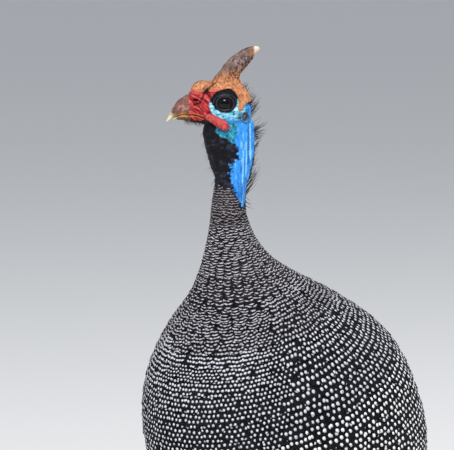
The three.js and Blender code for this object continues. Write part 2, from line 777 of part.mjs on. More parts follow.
place(head, 'head', headSolid(), faceSkin);
place(head, 'neck_bare', bareNeckSolid(), blueSkin);
place(head, 'casque', casqueSolid(), casqueHorn);
place(head, 'bill_upper', upperBill, billHorn);
place(head, 'bill_lower', lowerBill, billHorn);
place(body, 'neck_feathered', trunkPiece(lessOne(NECK_RINGS)), feathers);
place(body, 'torso', trunkPiece(lessOne(TORSO_RINGS)), feathers);
place(body, 'tail', tail, feathers);
for (const [word, side] of [
  ['left', 1],
  ['right', -1],
]) {
  place(head, `eye_${word}`, eyeBall(side), eyeGlass);
  place(head, `wattle_${word}`, wattleSolid(side), redSkin);
  place(body, `wing_${word}`, side > 0 ? leftWing : mirrored(leftWing), feathers);
  place(body, `thigh_${word}`, thighSolid(side), feathers);
  place(body, `shank_${word}`, shankSolid(side), legScales);
  place(body, `foot_${word}`, footSolid(side), legScales);
  for (const [toe, turn, length, radius] of TOES) {
    place(body, `claw_${toe}_${word}`, clawSolid(side, turn, length, radius), clawHorn);
  }
}

export default bird;
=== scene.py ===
"""Looks of a helmeted guinea fowl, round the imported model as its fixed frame. Metres, +Z up, facing -Y."""

import math

import bmesh
import bpy
import numpy as np
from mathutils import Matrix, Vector


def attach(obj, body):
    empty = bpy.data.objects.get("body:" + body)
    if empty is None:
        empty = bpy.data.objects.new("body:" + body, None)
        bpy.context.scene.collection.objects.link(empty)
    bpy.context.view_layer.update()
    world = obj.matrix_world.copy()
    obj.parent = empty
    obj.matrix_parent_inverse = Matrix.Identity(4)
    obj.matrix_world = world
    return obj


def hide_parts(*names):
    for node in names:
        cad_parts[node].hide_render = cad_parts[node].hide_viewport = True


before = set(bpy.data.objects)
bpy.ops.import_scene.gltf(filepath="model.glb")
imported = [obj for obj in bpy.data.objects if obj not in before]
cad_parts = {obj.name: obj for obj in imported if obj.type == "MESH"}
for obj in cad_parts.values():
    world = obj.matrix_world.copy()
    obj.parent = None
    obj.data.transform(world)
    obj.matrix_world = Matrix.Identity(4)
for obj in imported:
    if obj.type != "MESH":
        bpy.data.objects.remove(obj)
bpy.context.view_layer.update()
rng = np.random.default_rng(7)

MM = 0.001
PI = math.pi
SIDES = (("left", 1), ("right", -1))
UP = np.array([0, 0, 1.0])

# Driving sizes, in millimetres as in the model's source
EYE_HEIGHT = 496.5
HEAD_TURN = 50
NECK_AXIS_Y = -82
STANCE = 36
SHIFT = np.array([0, -31, 0])
ROUNDNESS = 2.15
BACK_TAPER = 0.07

# Neck and body rings: back y, back z, breast y, breast z, half width
TRUNK = [
    [-68, 411, -96.5, 411, 13.2], [-61.5, 397, -99, 394, 14.8], [-51, 381.5, -102, 375, 19.4],
    [-33.5, 366.5, -105, 354, 28], [-8, 353.5, -109.5, 331, 42], [21, 341.5, -126, 301, 61.5],
    [56, 326, -142, 266, 77.5], [91.5, 307.5, -145.5, 231, 87.5], [121, 285.5, -138.5, 198, 92],
    [138.5, 259, -118, 168, 93], [147, 234, -86, 142, 91], [152, 211, -41, 124, 83], [156, 189, 8, 115, 72],
    [161, 170, 57, 117, 57], [169, 153, 99, 128, 39], [180, 138, 130, 132, 23],
]
LAST_RING = len(TRUNK) - 1

# Folded wing over the body's rings, shoulder to tip: upper ring, upper angle, lower ring, lower angle
WING = [
    [6, 96, 6.6, 116], [5.9, 84, 7.6, 119], [6.3, 71, 8.5, 116], [7.1, 60, 9.3, 109], [8.1, 51, 10.1, 100],
    [9.2, 45, 10.9, 91], [10.3, 42, 11.6, 82], [11.3, 41, 12.2, 72], [12.2, 42, 12.7, 60],
    [12.8, 46, 12.9, 52],
]
WING_THICK = 5.5

# Head, in a frame between the eyes with x forward, y left and z up
BARE_NECK = [  # up, front, back, half width
    [-8, 10, -18, 9], [-17, 15, -24.6, 12.6], [-24, 17.2, -25.6, 13.6], [-32, 16, -25.8, 13.6],
    [-40, 14.4, -25.8, 13], [-49, 12, -25, 12.4], [-55.5, 10, -23.8, 12.1], [-60.5, 7.9, -22.6, 12],
    [-68, 7.6, -19.8, 12.1], [-77, 8.8, -18.4, 12.6], [-85.5, 10.2, -18.4, 13.2], [-92, 11, -18.6, 13.4],
]
NECK_FOOT = -85.5
SKULL = [  # forward, top, bottom, half width
    [-22.6, 1, -13, 4], [-21, 6, -18, 8.4], [-17, 12, -23, 12], [-11, 16.5, -26, 13.8],
    [-4, 18.8, -26, 14.5], [3, 18.6, -24, 14.2], [9, 17, -21, 12.6], [14.5, 14.2, -18.6, 10.4],
    [19.5, 11.2, -17.2, 8.4], [24, 9, -16.6, 7], [27.5, 7.4, -16, 6], [30.5, 6, -14.8, 4.8],
]
UPPER_BILL = [
    [27.2, 7.6, -9.6, 6.2], [31, 6.2, -9.7, 5.4], [35, 3.8, -10.1, 4.6], [39, 0.2, -11.3, 3.6],
    [42.5, -5, -12.9, 2.5], [45.3, -10.6, -14.7, 1.5], [47.3, -15, -16.2, 0.5],
]
LOWER_BILL = [
    [27.2, -10, -16, 5.4], [32, -10.2, -14.9, 4.3], [36.5, -11, -14.3, 3.1], [40, -12.3, -14.1, 1.9],
    [41.6, -13.1, -14, 1],
]
HORN = [  # front forward, front up, back forward, back up, half width
    [13, 8, -15, 8, 9], [9.5, 17.5, -14.5, 15, 8.2], [7, 21.8, -13.4, 20.8, 6.6],
    [2.7, 26.6, -14.4, 24, 5.6], [-1.8, 32.6, -18.1, 28.1, 5], [-7.3, 38.1, -22.4, 33.1, 4.5],
    [-13.6, 42.3, -25.2, 38, 3.9], [-19, 44.8, -27.4, 40.6, 3], [-24.5, 46, -29.3, 42.8, 2],
    [-28, 45.9, -29.9, 44.4, 0.9],
]
SHEATH = [
    [13, 26], [14, 11], [8.7, 9.2], [1.6, 11.4], [-4.2, 11.8], [-8.9, 8.1], [-11.2, 2.2], [-11, -4.2],
    [-12.1, -6.8], [-14.7, -4.2], [-17.6, 0], [-26, 4], [-26, 26],
]
SHEATH_THICK = 1.5
KNOB = {"place": (17.4, 0, 9.6), "radii": (9.9, 6.6, 8.6)}
EYE = {"radius": 7.4, "out": 9.2, "long": 6.4, "high": 5.2, "lid": 1.1}
EAR = {"forward": -16.8, "up": -11.2, "out": 11.3, "radius": 3.7, "rim": 0.42, "turn": 24}
WATTLE = [  # forward, up, left, half thickness, half depth
    [17, -9.4, 8.6, 0.8, 1], [14.5, -10.4, 10, 1.6, 2.4], [10, -12.6, 11.8, 2, 3.4],
    [5, -15.4, 13.2, 2.2, 4.1], [0.2, -18.4, 14.2, 2, 3.7], [-3.2, -20.4, 14.4, 0.8, 1.4],
]
THIGH = [  # y, z, out from the stance, half length, half width
    [-6, 176, 10, 44, 26], [2, 150, 8, 41, 25], [10, 130, 6, 34, 21], [18, 114, 3.5, 24, 15.5],
    [26, 100, 1.5, 14.5, 10.5], [32, 90, 0, 8.4, 7.4], [33.6, 86.6, 0, 7, 6.8],
]
SHANK = [  # y, z, half width, half length
    [35, 91, 6.0, 5.8], [34.2, 86.2, 6.4, 6], [34.6, 80, 6.6, 7], [32, 71, 4.6, 5.6], [28, 57, 3.9, 4.9],
    [21.5, 36, 3.9, 4.9], [17, 22, 4.6, 5.3], [14.6, 12, 5.2, 5.4],
]
FOOT_Y = 12
SHORT_TOE = 20
TOES = [  # name, turn in degrees, length, radius
    ("inner", -30, 38, 3.5), ("middle", 0, 50, 3.9), ("outer", 32, 40, 3.5), ("back", 172, 17, 2.7),
]
TAIL = {"y": 148, "z": 160, "droop": 44, "round": 0.16}

HEAD_YAW = math.radians(270 - HEAD_TURN)
NECK_MIDDLE = (10.2 - 18.4) / 2
HEAD_PLACE = np.array(
    [-NECK_MIDDLE * math.cos(HEAD_YAW), NECK_AXIS_Y - NECK_MIDDLE * math.sin(HEAD_YAW), EYE_HEIGHT]
)


# Small maths

def rows_at(table, t):
    """Catmull-Rom between the rows of a table at row numbers that may be fractions."""
    table = np.asarray(table, float)
    last = len(table) - 1
    t = np.asarray(t, float)
    i = np.clip(np.floor(t).astype(int), 0, last - 1)
    f = (t - i)[..., None]
    p0, p1, p2, p3 = (table[np.clip(i + k, 0, last)] for k in (-1, 0, 1, 2))
    return p1 + 0.5 * f * (p2 - p0 + f * (2 * p0 - 5 * p1 + 4 * p2 - p3 + f * (3 * (p1 - p2) + p3 - p0)))


def finer(table, steps):
    return rows_at(table, np.linspace(0, len(table) - 1, steps + 1))


def power(value, exponent):
    return np.sign(value) * np.abs(value) ** exponent


def smoothstep(low, high, value):
    x = np.clip((value - low) / (high - low), 0, 1)
    return x * x * (3 - 2 * x)


def unit(v):
    return v / np.maximum(np.linalg.norm(v, axis=-1, keepdims=True), 1e-12)


def circle(count):
    """Angles round a ring, as one row."""
    return np.linspace(0, 2 * PI, count, endpoint=False)[None]


def alike(*values):
    """The values as arrays of one shape."""
    return np.broadcast_arrays(*(np.asarray(v, float) for v in values))


def columns_at(table, place, *columns):
    """Columns of a table, straight between its rows by the first column."""
    rows = np.array(sorted(table), float)
    return [np.interp(place, rows[:, 0], rows[:, k]) for k in columns]


def run_lengths(line):
    """Millimetres run up to each point of a line."""
    return np.concatenate([[0], np.cumsum(np.linalg.norm(np.diff(line, axis=0), axis=1))])


def scattered(i, seed):
    """A repeatable number from 0 to 1 for each whole-number point."""
    h = i[..., 0] * 374761393 + i[..., 1] * 668265263 + i[..., 2] * 2147483647
    h = (h + seed * 1274126177) & 0xFFFFFFFF
    h = ((h ^ (h >> 13)) * 1274126177) & 0xFFFFFFFF
    return ((h ^ (h >> 16)) & 0xFFFF) / 65535.0


def noise(p, size, seed=0, octaves=2):
    """Smooth noise from -1 to 1, with lumps of about that size."""
    total = np.zeros(p.shape[:-1])
    weight = 1.0
    for octave in range(octaves):
        q = p / size * 2**octave + 100
        i = np.floor(q).astype(np.int64)
        f = q - i
        f = f * f * (3 - 2 * f)
        value = 0
        for corner in range(8):
            step = np.array([corner & 1, (corner >> 1) & 1, corner >> 2])
            share = np.prod(np.where(step, f, 1 - f), axis=-1)
            value = value + share * scattered(i + step, seed + octave * 17)
        total += weight * (2 * value - 1)
        weight *= 0.5
    return total / (2 - 0.5 ** (octaves - 1))


def noise_at(x, y, z, size, seed):
    return noise(np.stack([x, y, z], -1), size, seed)


# Surfaces that feathers lie on: each takes ring and lane numbers and gives points in millimetres

def trunk(t, angle, grow=0.0):
    t, angle = alike(t, angle)
    back_y, back_z, breast_y, breast_z, half = np.moveaxis(rows_at(TRUNK, t), -1, 0)
    up_y, up_z = (back_y - breast_y) / 2, (back_z - breast_z) / 2
    reach = 1 + grow / np.hypot(up_y, up_z)
    c = power(np.cos(angle), 2 / ROUNDNESS)
    s = power(np.sin(angle), 2 / ROUNDNESS) * (1 - BACK_TAPER * c)
    y = (back_y + breast_y) / 2 + up_y * c * reach
    z = (back_z + breast_z) / 2 + up_z * c * reach
    return np.stack([(half + grow) * s, y, z], -1) + SHIFT


def wing_place(along, down):
    row = rows_at(WING, np.clip(along, -0.05, 1.05) * (len(WING) - 1))
    ring = row[..., 0] + (row[..., 2] - row[..., 0]) * down
    angle = np.radians(row[..., 1] + (row[..., 3] - row[..., 1]) * down)
    return ring, angle


def bulge(share):
    return np.sqrt(np.sin(PI * np.clip(share, 0.03, 0.97)))


def wing_surface(side):
    def surface(along, down):
        along, down = alike(along, down)
        ring, angle = wing_place(along, down)
        normal = normal_of(trunk, ring, angle)
        rise = 0.6 + (WING_THICK - 1.2) * bulge(down) * bulge(np.clip(along, 0, 1) * 0.9)
        point = trunk(ring, angle) + normal * rise[..., None]
        point[..., 0] *= side
        return point

    return surface


def thigh_surface(side):
    def surface(t, angle):
        t, angle = alike(t, angle)
        y, z, out, long, wide = np.moveaxis(rows_at(THIGH, t), -1, 0)
        tilt = -0.35 * long * np.cos(angle) * smoothstep(95, 140, z)
        x = side * (STANCE + out) + wide * np.sin(angle)
        return np.stack([x, y + long * np.cos(angle), z + tilt], -1) + SHIFT

    def centre(point):
        y = columns_at([row[1::-1] for row in THIGH], point[..., 2], 1)[0] + SHIFT[1]
        return np.stack([np.full_like(y, side * (STANCE + 4)), y, point[..., 2]], -1)

    surface.centre = centre
    return surface


def tail_surface(length, spread, height):
    def surface(along, out):
        along, out = alike(along, out)
        droop = math.radians(TAIL["droop"])
        rear = np.array([0, math.cos(droop), -math.sin(droop)])
        up = np.array([0, math.sin(droop), math.cos(droop)])
        yaw = out * math.radians(spread)
        ahead = np.cos(yaw)[..., None] * rear + np.sin(yaw)[..., None] * np.array([1.0, 0, 0])
        reach = length * (1 - TAIL["round"] * out * out)
        base = np.stack([out * 15, np.full_like(out, TAIL["y"]), np.full_like(out, TAIL["z"])], -1)
        lift = height - 6.5 * out * out - 5 * along * along
        return base + ahead * (reach * along)[..., None] + up * lift[..., None] + SHIFT

    return surface


def body_centre(point):
    above = np.clip((point[..., 2] - 330) / 80, 0, 1)
    return np.stack([np.zeros_like(above), -35 - 80 * above, np.clip(point[..., 2], 190, 420)], -1)


LANE_STEP = 0.004


def normal_of(surface, t, a):
    """Unit normals by small steps. They point away from the middle of the part."""
    h, k = 0.01, LANE_STEP
    along = surface(t + h, a) - surface(t - h, a)
    across = surface(t, a + k) - surface(t, a - k)
    n = unit(np.cross(along, across))
    point = surface(t, a)
    centre = getattr(surface, "centre", body_centre)(point)
    n[np.sum(n * (point - centre), axis=-1) < 0] *= -1
    return n


def ring_length(surface, t, a, h=0.05):
    """Millimetres that a surface runs on for each ring number."""
    return np.linalg.norm(surface(t + h, a) - surface(t - h, a), axis=-1) / (2 * h)


# Meshes

def mesh_object(name, vertices, faces, material, uv=None, bake=None):
    """A mesh object from arrays in millimetres. uv and bake hold one pair a vertex."""
    mesh = bpy.data.meshes.new(name)
    vertices = np.asarray(vertices, np.float32) * MM
    faces = [np.asarray(part, np.int32) for part in (faces if isinstance(faces, list) else [faces])]
    mesh.vertices.add(len(vertices))
    mesh.vertices.foreach_set("co", vertices.ravel())
    corners = np.concatenate([part.ravel() for part in faces])
    sizes = np.concatenate([np.full(len(part), part.shape[1], np.int32) for part in faces])
    mesh.loops.add(len(corners))
    mesh.loops.foreach_set("vertex_index", corners)
    mesh.polygons.add(len(sizes))
    starts = np.concatenate([[0], np.cumsum(sizes)[:-1]])
    mesh.polygons.foreach_set("loop_start", starts.astype(np.int32))
    mesh.polygons.foreach_set("loop_total", sizes)
    mesh.update(calc_edges=True)
    for layer, values in (("UVMap", uv), ("OFBake", bake)):
        if values is not None:
            values = np.asarray(values, np.float32)[corners]
            mesh.uv_layers.new(name=layer).data.foreach_set("uv", values.ravel())
    mesh.polygons.foreach_set("use_smooth", np.full(len(sizes), True))
    mesh.validate()
    mesh.materials.append(material)
    piece = bpy.data.objects.new(name, mesh)
    bpy.context.scene.collection.objects.link(piece)
    return piece


def ring_faces(rings, count):
    """Quads and cap triangles over rings of equal count. The hubs of the caps are the next two vertices."""
    i, j = np.meshgrid(np.arange(rings - 1), np.arange(count), indexing="ij")
    a, b = (i * count + j).ravel(), (i * count + (j + 1) % count).ravel()
    hub, end = rings * count, (rings - 1) * count
    k = np.arange(count)
    low = np.stack([np.full(count, hub), (k + 1) % count, k], -1)
    high = np.stack([np.full(count, hub + 1), end + k, end + (k + 1) % count], -1)
    return np.stack([a, b, b + count, a + count], -1), np.concatenate([low, high])


def torus_faces(count, sides):
    i, j = np.meshgrid(np.arange(count), np.arange(sides), indexing="ij")
    i2, j2 = (i + 1) % count, (j + 1) % sides
    return np.stack([i * sides + j, i * sides + j2, i2 * sides + j2, i2 * sides + j], -1).reshape(-1, 4)


def loft(rings):
    """Vertices, quads and triangles of a closed skin over an array (rings, count, 3), facing out."""
    count = rings.shape[1]
    vertices = np.concatenate([rings.reshape(-1, 3), [rings[0].mean(0)], [rings[-1].mean(0)]])
    quads, triangles = ring_faces(len(rings), count)
    a, b, c, d = (vertices[quads[:, k]] for k in range(4))
    if np.sum(a * np.cross(b, c)) + np.sum(a * np.cross(c, d)) < 0:
        quads, triangles = quads[:, ::-1], triangles[:, ::-1]
    return vertices, quads, triangles


def loft_object(name, rings, material):
    vertices, quads, triangles = loft(rings)
    return mesh_object(name, vertices, [quads, triangles], material)


def joined(name, parts, material):
    """One object of several closed shells, each (vertices, quads, triangles)."""
    vertices, quads, triangles, first = [], [], [], 0
    for v, q, t in parts:
        vertices.append(v)
        quads.append(q + first)
        triangles.append(t + first)
        first += len(v)
    faces = [np.concatenate(quads), np.concatenate(triangles)]
    return mesh_object(name, np.concatenate(vertices), faces, material)


def ball(place, radii, segments=40):
    angles = np.linspace(0, PI, segments // 2 + 1)[1:-1, None]
    turn = circle(segments)
    level = np.cos(angles) * np.ones_like(turn)
    rings = np.stack([np.sin(angles) * np.cos(turn), np.sin(angles) * np.sin(turn), level], -1)
    vertices, quads, triangles = loft(rings)
    vertices[-2] = [0, 0, 1]
    vertices[-1] = [0, 0, -1]
    return vertices * np.asarray(radii, float) + np.asarray(place, float), quads, triangles


def ring_shell(radius, thick, squash, turn, place):
    """A ring that stands on its side, turned in degrees about the upright."""
    segments, sides = 40, 14
    a, b = circle(segments).T, circle(sides)
    r = radius + thick * np.cos(b)
    x, y, z = r * np.cos(a), thick * np.sin(b) * np.ones_like(a), r * np.sin(a) * squash
    c, s = math.cos(math.radians(turn)), math.sin(math.radians(turn))
    points = np.stack([x * c - y * s, x * s + y * c, z], -1).reshape(-1, 3)
    return points + np.asarray(place, float), torus_faces(segments, sides), np.zeros((0, 3), int)


def cross_rings(table, steps, sides, share=0.5, roundness=2.2, grow=0.0):
    """Rings across the forward axis from rows of forward, top, bottom and half width."""
    forward, top, bottom, half = np.moveaxis(finer(table, steps), -1, 0)[..., None]
    angle = circle(sides)
    middle = bottom + (top - bottom) * share
    c, s = power(np.cos(angle), 2 / roundness), power(np.sin(angle), 2 / roundness)
    rise = np.where(c > 0, top - middle, middle - bottom)
    rings = np.stack([forward * np.ones_like(s), (half + grow) * s, middle + (rise + grow) * c], -1)
    rings[0, :, 0] -= grow
    return rings


def fan_rings(table, steps, sides):
    """Rings from rows of a front and a back point and a half width."""
    front_x, front_z, back_x, back_z, half = np.moveaxis(finer(table, steps), -1, 0)[..., None]
    angle = circle(sides)
    x = (front_x + back_x) / 2 + (front_x - back_x) / 2 * np.cos(angle)
    z = (front_z + back_z) / 2 + (front_z - back_z) / 2 * np.cos(angle)
    return np.stack([x, half * np.sin(angle), z], -1)


def neck_turn(up):
    """Radians that the bare neck is turned from the head's heading towards the body's, by height."""
    return smoothstep(45, -NECK_FOOT, -up) * math.radians(HEAD_TURN)


def neck_rings(steps, sides):
    """Rings of the bare neck, which turn from the head's heading at the top to the body's at the foot."""
    up, front, back, half = np.moveaxis(finer(BARE_NECK, steps), -1, 0)[..., None]
    angle, turned = circle(sides), neck_turn(up)
    c, s = (front - back) / 2 * np.cos(angle), half * np.sin(angle)
    x = (front + back) / 2 + c * np.cos(turned) - s * np.sin(turned)
    return np.stack([x, c * np.sin(turned) + s * np.cos(turned), up * np.ones_like(x)], -1)


def apply_modifier(piece, kind, **settings):
    modifier = piece.modifiers.new(kind, kind)
    for key, value in settings.items():
        setattr(modifier, key, value)
    graph = bpy.context.evaluated_depsgraph_get()
    mesh = bpy.data.meshes.new_from_object(piece.evaluated_get(graph), depsgraph=graph)
    old = piece.data
    piece.modifiers.clear()
    piece.data = mesh
    mesh.name = piece.name
    bpy.data.meshes.remove(old)


def remesh(piece, size):
    apply_modifier(piece, "REMESH", mode="VOXEL", voxel_size=size * MM, use_smooth_shade=True)


def relax(piece, times):
    apply_modifier(piece, "SMOOTH", factor=0.5, iterations=times)


def trim(piece, outline):
    """Keeps only what lies inside the outline's solid."""
    apply_modifier(piece, "BOOLEAN", operation="INTERSECT", object=outline, solver="EXACT", use_self=True)
    bpy.data.objects.remove(outline)


def vertex_values(piece, name):
    flat = np.empty(len(piece.data.vertices) * 3, np.float32)
    piece.data.vertices.foreach_get(name, flat)
    return flat.reshape(-1, 3).astype(float)


def coords(piece):
    return vertex_values(piece, "co") / MM


def normals(piece):
    return vertex_values(piece, "normal")


def set_coords(piece, points):
    piece.data.vertices.foreach_set("co", (points * MM).astype(np.float32).ravel())
    piece.data.update()


def tint(piece, colors):
    """A colour for each vertex, as linear red, green and blue."""
    rgba = np.ones((len(colors), 4), np.float32)
    rgba[:, :3] = np.clip(colors, 0, 1)
    layer = piece.data.color_attributes.new("tint", "FLOAT_COLOR", "POINT")
    layer.data.foreach_set("color", rgba.ravel())


def recalc(piece):
    """Turns every shell's faces outward."""
    work = bmesh.new()
    work.from_mesh(piece.data)
    bmesh.ops.recalc_face_normals(work, faces=work.faces)
    work.to_mesh(piece.data)
    work.free()


def to_world(points):
    """From the head's own frame to the model's, in millimetres."""
    c, s = math.cos(HEAD_YAW), math.sin(HEAD_YAW)
    x, y, z = np.moveaxis(points, -1, 0)
    return np.stack([x * c - y * s, x * s + y * c, z], -1) + HEAD_PLACE + SHIFT


def place_head_piece(piece):
    set_coords(piece, to_world(coords(piece)))


def finish_head_piece(piece, points, colors):
    """Moves the vertices to their points in the head's frame, colours them and puts the piece in place."""
    set_coords(piece, points)
    tint(piece, colors)
    place_head_piece(piece)


# Colours, from 0 to 255 as the eye sees them

def srgb(*value):
    v = np.asarray(value, float) / 255
    return np.where(v <= 0.04045, v / 12.92, ((v + 0.055) / 1.055) ** 2.4)


BLACK_SKIN = (19, 18, 23)
CHEEK = (112, 188, 214)
NECK_BLUE = (58, 146, 228)
NAPE_BLUE = (40, 112, 190)
PALE_BLUE = (128, 196, 246)
TEAL = (28, 104, 118)
RED_SKIN = (164, 38, 44)
WATTLE_RED = (186, 44, 44)
EYE_BROWN = (22, 13, 10)
HORN_BASE = (188, 124, 82)
HORN_MIDDLE = (112, 90, 82)
HORN_TIP = (228, 206, 186)
BILL = (118, 82, 76)
BILL_TIP = (208, 197, 162)


def flat(tone, p):
    """One tone for every point."""
    return np.tile(srgb(*tone), (len(p), 1))


def painted(colors, *layers):
    """Lays tones over the colours, one after another, each by its share at every point."""
    for tone, share in layers:
        other = srgb(*tone) if isinstance(tone, tuple) else tone
        colors = colors + (other - colors) * share[:, None]
    return colors


def near(value, place, width):
    """1 at a place and less away from it, over about that width."""
    return np.exp(-(((value - place) / width) ** 2))


# Materials

def node_material(name, roughness=0.6, **sockets):
    material = bpy.data.materials.new(name)
    material.use_nodes = True
    shader = material.node_tree.nodes["Principled BSDF"]
    shader.inputs["Roughness"].default_value = roughness
    for key, value in sockets.items():
        shader.inputs[key.replace("_", " ")].default_value = value
    return material, material.node_tree, shader


def add(tree, kind, inputs=(), **settings):
    node = tree.nodes.new(kind)
    for key, value in settings.items():
        setattr(node, key, value)
    for key, value in dict(inputs).items():
        if hasattr(value, "links"):
            tree.links.new(value, node.inputs[key])
        else:
            node.inputs[key].default_value = value
    return node


def ramp(tree, factor, stops):
    node = add(tree, "ShaderNodeValToRGB", {"Fac": factor})
    while len(node.color_ramp.elements) < len(stops):
        node.color_ramp.elements.new(0.5)
    for element, (position, color) in zip(node.color_ramp.elements, stops):
        element.position = position
        element.color = (*color, 1)
    return node.outputs["Color"]


def mixed(tree, factor, first, second, blend="MIX"):
    node = add(tree, "ShaderNodeMix", data_type="RGBA", blend_type=blend)
    for key, value in ((0, factor), (6, first), (7, second)):
        if hasattr(value, "links"):
            tree.links.new(value, node.inputs[key])
        elif key == 0:
            node.inputs[key].default_value = value
        else:
            node.inputs[key].default_value = (*value, 1)
    return node.outputs[2]


def texture(tree, kind, scale, vector, **inputs):
    node = add(tree, kind, {"Scale": scale, "Vector": vector})
    for key, value in inputs.items():
        node.inputs[key.replace("_", " ")].default_value = value
    return node


def stretched(tree, scale):
    place = add(tree, "ShaderNodeTexCoord").outputs["Object"]
    return add(tree, "ShaderNodeMapping", {"Vector": place, "Scale": scale}).outputs["Vector"]


def bump(tree, shader, height, strength, distance):
    node = add(tree, "ShaderNodeBump", {"Height": height, "Strength": strength, "Distance": distance})
    tree.links.new(node.outputs["Normal"], shader.inputs["Normal"])


def vertex_tint(tree):
    return add(tree, "ShaderNodeVertexColor", layer_name="tint").outputs["Color"]


def skin_material(name, roughness=0.5, grain=1.0):
    material, tree, shader = node_material(name, roughness, Specular_IOR_Level=0.1)
    vector = stretched(tree, (1, 1, 0.45))
    mottle = texture(tree, "ShaderNodeTexNoise", 900 * grain, vector, Detail=4.0).outputs["Fac"]
    pores = texture(tree, "ShaderNodeTexVoronoi", 1500 * grain, vector).outputs["Distance"]
    shade = ramp(tree, mottle, [(0.3, (0.62, 0.62, 0.66)), (0.68, (1.25, 1.25, 1.22))])
    color = mixed(tree, 0.75, vertex_tint(tree), shade, "MULTIPLY")
    tree.links.new(color, shader.inputs["Base Color"])
    height = add(tree, "ShaderNodeMath", {0: mottle, 1: pores}, operation="ADD").outputs[0]
    bump(tree, shader, height, 0.55, 0.0006)
    return material


def vane_material(name, dark, light):
    """Barbs and a fine pale net on a dark vane. UVMap runs across and along each feather, in centimetres."""
    material, tree, shader = node_material(name, 0.55, Specular_IOR_Level=0.03)
    place = add(tree, "ShaderNodeUVMap", uv_map="UVMap").outputs["UV"]
    net = texture(tree, "ShaderNodeTexVoronoi", 9.5, place, Randomness=0.75)
    edges = ramp(tree, net.outputs["Distance"], [(0.3, (0, 0, 0)), (0.52, (1, 1, 1))])
    barbs = texture(tree, "ShaderNodeTexWave", 16.0, place, Distortion=1.4, Detail=1.0).outputs["Fac"]
    streak = add(tree, "ShaderNodeMath", {0: edges, 1: barbs}, operation="MULTIPLY").outputs[0]
    color = mixed(tree, streak, dark, light)
    patch = texture(tree, "ShaderNodeTexNoise", 45.0, stretched(tree, (1, 1, 1)), Detail=2.0).outputs["Fac"]
    shade = ramp(tree, patch, [(0.35, (0.72, 0.72, 0.75)), (0.65, (1.2, 1.19, 1.16))])
    tree.links.new(mixed(tree, 1.0, color, shade, "MULTIPLY"), shader.inputs["Base Color"])
    bump(tree, shader, barbs, 0.25, 0.0003)
    return material


def speckled_material(name, base, other, scale, roughness=0.6, strength=0.4, **sockets):
    material, tree, shader = node_material(name, roughness, **sockets)
    grain = texture(tree, "ShaderNodeTexNoise", scale, stretched(tree, (1, 1, 1)), Detail=4.0).outputs["Fac"]
    tree.links.new(ramp(tree, grain, [(0.35, base), (0.65, other)]), shader.inputs["Base Color"])
    bump(tree, shader, grain, strength, 0.0003)
    return material


VANE_DARK = vane_material("vane_slate", srgb(4, 4, 5), srgb(42, 43, 48))
VANE_NECK = vane_material("vane_neck", srgb(18, 15, 16), srgb(58, 52, 54))
FLIGHT_DARK = vane_material("vane_flight", srgb(20, 18, 18), srgb(74, 70, 70))
WHITE_MARK = speckled_material("spot_white", srgb(226, 227, 230), srgb(250, 250, 250), 700, 0.6, 0.2)
DIM_MARK, GREY_MARK, LIGHT_MARK = (
    speckled_material(f"bar_{name}", srgb(*base), srgb(*other), 500, 0.6, 0.2)
    for name, base, other in (
        ("dim", (104, 98, 102), (160, 154, 160)),
        ("grey", (152, 148, 154), (206, 203, 210)),
        ("light", (184, 184, 192), (226, 226, 234)),
    )
)
BLACK_RING = speckled_material(
    "spot_ring", srgb(3, 3, 4), srgb(9, 9, 10), 700, 0.6, 0.2, Specular_IOR_Level=0.02
)
DOWN = speckled_material("down_under_feathers", srgb(24, 24, 27), srgb(52, 52, 58), 260, 0.9)
BRISTLE = speckled_material("bristle_black", srgb(10, 10, 12), srgb(30, 29, 32), 500, 0.45)
SKIN = skin_material("bare_skin")
HORN_SKIN = skin_material("casque_horn", roughness=0.6, grain=0.8)
BILL_HORN = skin_material("bill_horn", roughness=0.34, grain=0.35)
LEG = speckled_material("leg_scutes", srgb(52, 46, 46), srgb(92, 82, 78), 340, 0.5)
CLAW = speckled_material("claw_horn", srgb(34, 28, 26), srgb(78, 66, 58), 420, 0.35, 0.2)


# Feathers

